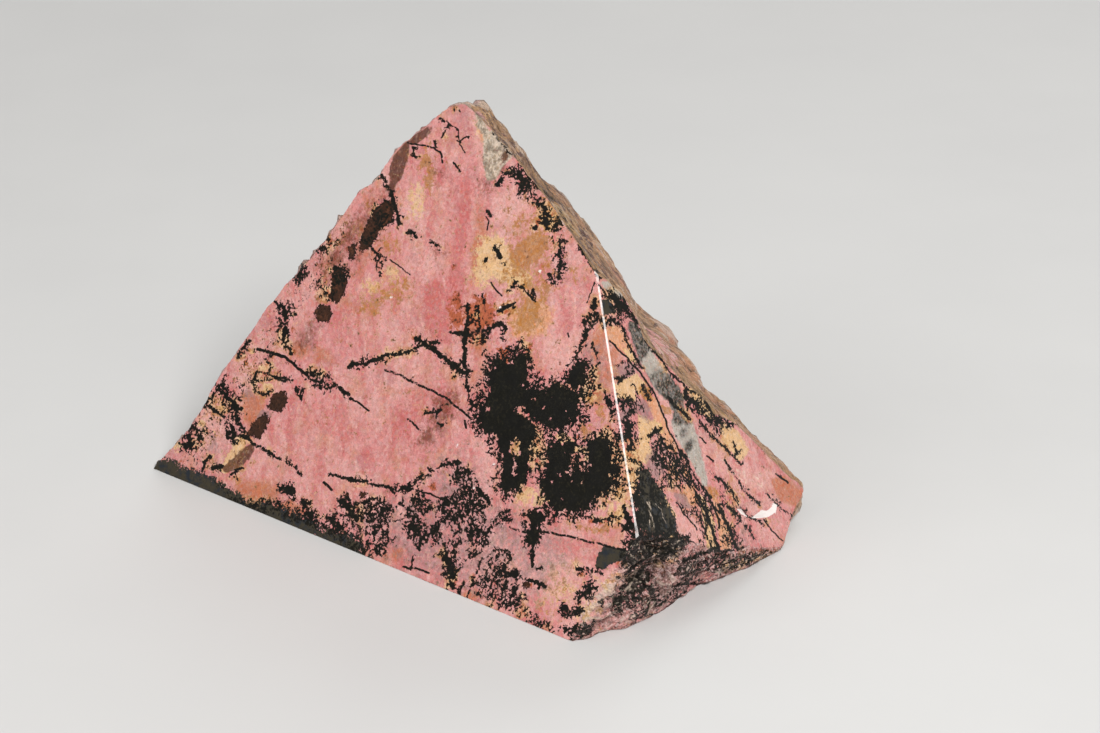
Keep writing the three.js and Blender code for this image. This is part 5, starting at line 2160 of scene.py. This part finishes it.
    def grow_oxide(self):
        """Where the black oxide is: cracks and masses, mossy areas, and slaty plates."""
        web = self.math("ABSOLUTE", self.minus(self.noise(0.9, 3, 0.6, 51, distortion=0.8), 0.5))
        unseen = self.plus(self.times(self.wild_cracks(), self.wild), self.only_wild)
        uneven = self.plus(self.swing(self.small, 3.0), self.swing(self.fine, 5.5))
        uneven = self.plus(uneven, self.times(self.minus(0.06, web), 11))
        self.black_field = self.plus(self.most(self.attribute("black"), unseen), uneven)
        lines = self.amount("line", self.fine, 2.0, -0.3, 0.25)
        hard = self.most(self.step(self.black_field, -0.25, 0.3), lines)

        wild_moss = self.times(self.step(self.noise(11, 3, 0.5, 19), 0.52, 0.68), 0.8)
        self.cover = self.most(self.attribute("moss"), self.times(wild_moss, self.wild))
        mossy = self.swung(self.cover, self.noise(0.8, 5, 0.68, 7, distortion=0.4), 1.7)
        mossy = self.swung(mossy, self.fine, 1.2)
        self.mossy = self.plus(mossy, self.times(self.minus(0.05, web), 3.2))
        soft = self.times(self.step(self.mossy, 0.47, 0.55), self.step(self.cover, 0.05, 0.3))
        self.black = self.most(hard, soft)

        slate = self.attribute("slate")
        uneven = self.plus(self.swing(self.rough_edge, 4.4), self.swing(self.fine, 3))
        plates = self.step(self.plus(slate, uneven), 0.42, 0.6)
        self.slate = self.times(plates, self.step(slate, 0.02, 0.25))

    def lay_rims(self):
        """Ochre, cream and rust round the black, wide in some places and missing in others."""
        near_hard = self.step(self.swung(self.black_field, self.middle, 9), -3.4, -0.8)
        near_moss = self.times(self.step(self.mossy, 0.3, 0.45), self.step(self.cover, 0.05, 0.3))
        place = self.plus(self.noise(5.5, 3, 0.6, 77), self.times(self.attribute("halo"), 0.22))
        colour = self.mix(self.step(self.rough_edge, 0.44, 0.54), CREAM_YELLOW, OCHRE_BROWN)
        colour = self.mix(self.step(self.noise(1.1, 3, 0.6, 33), 0.57, 0.65), colour, RUST_RED)
        strength = self.minus(0.7, self.times(self.brown, 0.7))
        self.lay(colour, self.most(near_hard, near_moss), self.step(place, 0.53, 0.64), strength)

    def lay_oxide(self):
        """The slaty plates and the black, with light flecks, painted glints and painted highlights over them.
        """
        plate = self.mix(self.step(self.noise(1.2, 3, 0.6, 23), 0.42, 0.7), SLATE_GREEN, STEEL_BLUE)
        plate = self.mix(self.times(self.step(self.fine, 0.52, 0.68), 0.4), plate, BLACK_WARM)
        self.lay(plate, self.slate)
        dark = self.mix(self.step(self.noise(0.4, 3, 0.65, 13), 0.5, 0.68), BLACK_OXIDE, BLACK_WARM)
        dark = self.mix(self.step(self.middle, 0.42, 0.6), dark, self.mix(0.6, dark, BLACK_DEEP))
        self.lay(dark, self.black)
        # Light flecks; in the break this field also holds painted highlights and painted glints of crystal
        # faces.
        flecks = self.amount("fleck", self.fine, 2.0, -0.3, 0.4)
        self.lay(self.mix(0.5, CREAM_YELLOW, WHITE_CHIP_AND_GLINT), flecks, 0.55)
        # Painted glints: white on small bright pits and on the side face's chip, partly their own pale
        # colour.
        self.lay(WHITE_CHIP_AND_GLINT, self.amount("glint", self.fine, 1, 0.4, 0.7))
        self.dark = self.most(self.black, self.slate)


def polished(name, wear_and_highlight):
    """A lapped face: flat, glossy, a little duller on the black oxide, and whitened by the given share, which
    on the ridge is partly wear and partly a painted highlight.
    """
    n = Rock(name)
    # Whitening for the ridge strip: partly wear, partly a painted highlight of the lamp on the eased ridge
    n.lay(WHITE_CHIP_AND_GLINT, n.step(n.noise(0.8, 3, 0.6, 58), 0.3, 0.5), wear_and_highlight)
    n.shade("Base Color", n.colour)
    haze = n.step(n.noise(1.6, 4, 0.6, 4), 0.3, 0.7, 0.2, 0.3)
    n.shade("Roughness", n.plus(haze, n.times(n.dark, 0.08)))
    n.shade("Specular IOR Level", 0.17)
    n.bump(n.step(n.noise(0.5, 3, 0.6, 44), 0.66, 0.8, 0.0, -1.0), 0.03 * MM, 0.5)
    return n.material


def lay_rind(n):
    """The weathered skin over the top, tan and grey-brown, darker and more olive near the apex."""
    lengthwise = n.noise(1.4, 5, 0.7, 6, n.drawn_out(RIND_GRAIN, 4))
    broad = n.noise(3.2, 4, 0.65, 45, n.drawn_out(RIND_GRAIN, 3))
    place = n.add("ShaderNodeSeparateXYZ")
    n.link(n.position, place.inputs[0])
    high = n.step(n.swung(place.outputs["Z"], n.noise(6, 3, 0.6, 36), 16), 34, 42)
    skin = n.mix(n.step(lengthwise, 0.42, 0.6), RIND_TAN, RIND_PALE)
    skin = n.mix(n.step(n.noise(7, 3, 0.5, 15), 0.45, 0.6), skin, RIND_PINK)
    skin = n.mix(n.times(high, 0.75), skin, RIND_OLIVE)
    skin = n.mix(n.times(n.step(broad, 0.55, 0.64), 0.6), skin, RIND_LIGHT)
    skin = n.mix(n.times(n.step(broad, 0.45, 0.37), 0.6), skin, RIND_DARK)
    stains = n.plus(n.noise(1.9, 5, 0.7, 8), n.times(high, 0.07))
    skin = n.mix(n.step(stains, 0.56, 0.64), skin, RIND_DARK)
    cover = n.swung(n.times(n.attribute("rind"), 0.9), n.noise(4, 4, 0.6, 25), 1.2)
    cover = n.minus(cover, n.times(n.attribute("pale"), 0.7))
    n.lay(skin, n.step(cover, 0.35, 0.6), 0.85)


def lay_fracture(n, layers, layered):
    """Layers, painted shade in the pits, painted highlight on the crests, grit, and crystal grains with
    painted glints, of a broken surface.
    """
    white = n.mix(0.5, PALE_PINK, WHITE_CHIP_AND_GLINT)
    clean = n.minus(1.0, n.times(n.step(n.attribute("pale"), 0.8, 1.4), 0.75))
    light = n.minus(1.0, n.times(n.dark, 0.9))
    n.lay(BLACK_WARM, n.step(layers, 0.54, 0.6), 0.6, n.times(layered, clean))
    n.lay(white, n.step(layers, 0.44, 0.39), 0.6, n.times(layered, light))
    # Painted shade and highlight: darker where a vertex lies below its neighbours, lighter where it stands
    # above them.
    pit = n.swung(n.attribute("pit"), n.noise(0.5, 4, 0.7, 18), 2.0)
    n.lay(n.mix(0.5, RIND_DARK, BLACK_OXIDE), n.step(pit, 0.3, 2.0), 0.7, clean)
    n.lay(n.mix(0.5, RIND_PALE, WHITE_CHIP_AND_GLINT), n.step(pit, -0.5, -1.8), 0.55, light)
    grit = n.noise(0.26, 2, 0.6, 66)
    plain = n.times(n.minus(1.0, n.times(n.attribute("rind"), 0.75)), light)
    n.lay(n.mix(0.4, PALE_PINK, WHITE_CHIP_AND_GLINT), n.step(grit, 0.55, 0.63), 0.45, plain)
    n.lay(RIND_DARK, n.step(grit, 0.46, 0.38), 0.36, plain, clean)
    # The white crystal grains are painted glints of crystal faces; the dark ones are dark grains.
    crystals = n.grains(0.33)
    n.lay(white, n.step(crystals[1], 0.8, 0.92), 0.5, plain)
    n.lay(BLACK_WARM, n.step(crystals[2], 0.8, 0.94), 0.4, plain, clean)


def broken():
    """Broken and weathered sides: granular, stained, with a tan rind over the top."""
    n = Rock("broken_rhodonite")
    layers = n.noise(0.62, 4, 0.65, 48, n.drawn_out(BREAK_LAYERS, 7))
    layered = n.attribute("break")
    lay_rind(n)
    lay_fracture(n, layers, layered)
    n.shade("Base Color", n.colour)
    n.shade("Roughness", n.step(n.grains(0.5)[0], 0.8, 0.95, 0.62, 0.3))
    n.shade("Specular IOR Level", 0.24)
    facets = n.plus(n.times(n.cells(0.9)["Distance"], 0.9), n.times(n.cells(0.36)["Distance"], 0.5))
    rough = n.plus(n.noise(0.8, 5, 0.7, 12), n.times(n.noise(0.25, 3, 0.6, 14), 0.5))
    n.bump(n.plus(n.plus(facets, rough), n.times(layers, layered, 2.0)), 0.34 * MM, 1.0)
    return n.material


def sawn():
    """The base: sawn but not polished, with the blade's fine grooves."""
    n = Rock("sawn_rhodonite")
    n.lay(RIND_PALE, 0.18)
    n.shade("Base Color", n.colour)
    n.shade("Roughness", n.step(n.noise(2, 3, 0.6, 4), 0.3, 0.7, 0.5, 0.65))
    n.shade("Specular IOR Level", 0.3)
    n.bump(n.noise(0.4, 2, 0.5, 1, n.drawn_out(SAW_GROOVES, 50)), 0.06 * MM, 0.6)
    return n.material


# Studio

def table_material():
    n = Nodes("pale_table")
    n.shade("Base Color", n.mix(n.noise(40, 3, 0.5), (0.60, 0.595, 0.585), (0.64, 0.635, 0.62)))
    n.shade("Roughness", n.step(n.noise(15, 3, 0.5, 2), 0.3, 0.7, 0.6, 0.7))
    return n.material


def table():
    bpy.ops.mesh.primitive_plane_add(size=6, location=(0, 0, -0.05 * MM))
    floor = bpy.context.active_object
    floor.name = "table"
    floor.data.materials.append(table_material())


def lamp(name, place, size, power):
    """A round soft lamp that points at the stone."""
    light = bpy.data.lights.new(name, "AREA")
    light.shape = "DISK"
    light.size = size
    light.energy = power
    holder = bpy.data.objects.new(name, light)
    holder.location = place
    holder.rotation_euler = (LAMP_TARGET - Vector(place)).to_track_quat("-Z", "Y").to_euler()
    holder.visible_camera = False
    bpy.context.scene.collection.objects.link(holder)


def studio():
    scene = bpy.context.scene
    scene.view_settings.view_transform = "Standard"
    scene.world = bpy.data.worlds.new("studio")
    scene.world.use_nodes = True
    background = scene.world.node_tree.nodes["Background"]
    background.inputs["Color"].default_value = (1.0, 0.99, 0.98, 1.0)
    background.inputs["Strength"].default_value = 0.3
    for name, place, size, power in LAMPS:
        lamp(name, place, size, power)


def camera():
    view = bpy.data.objects.new("camera", bpy.data.cameras.new("camera"))
    view.location = CAMERA_PLACE
    view.rotation_euler = (CAMERA_TILT, 0, 0)
    view.data.lens = LENS
    view.data.sensor_width = SENSOR
    view.data.sensor_fit = "HORIZONTAL"
    view.data.clip_start = 10 * MM
    bpy.context.scene.collection.objects.link(view)
    bpy.context.scene.camera = view


def main():
    camera()
    studio()
    table()
    stone = stone_object(markings())
    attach(stone, "root")
    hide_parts("rhodonite")


main()
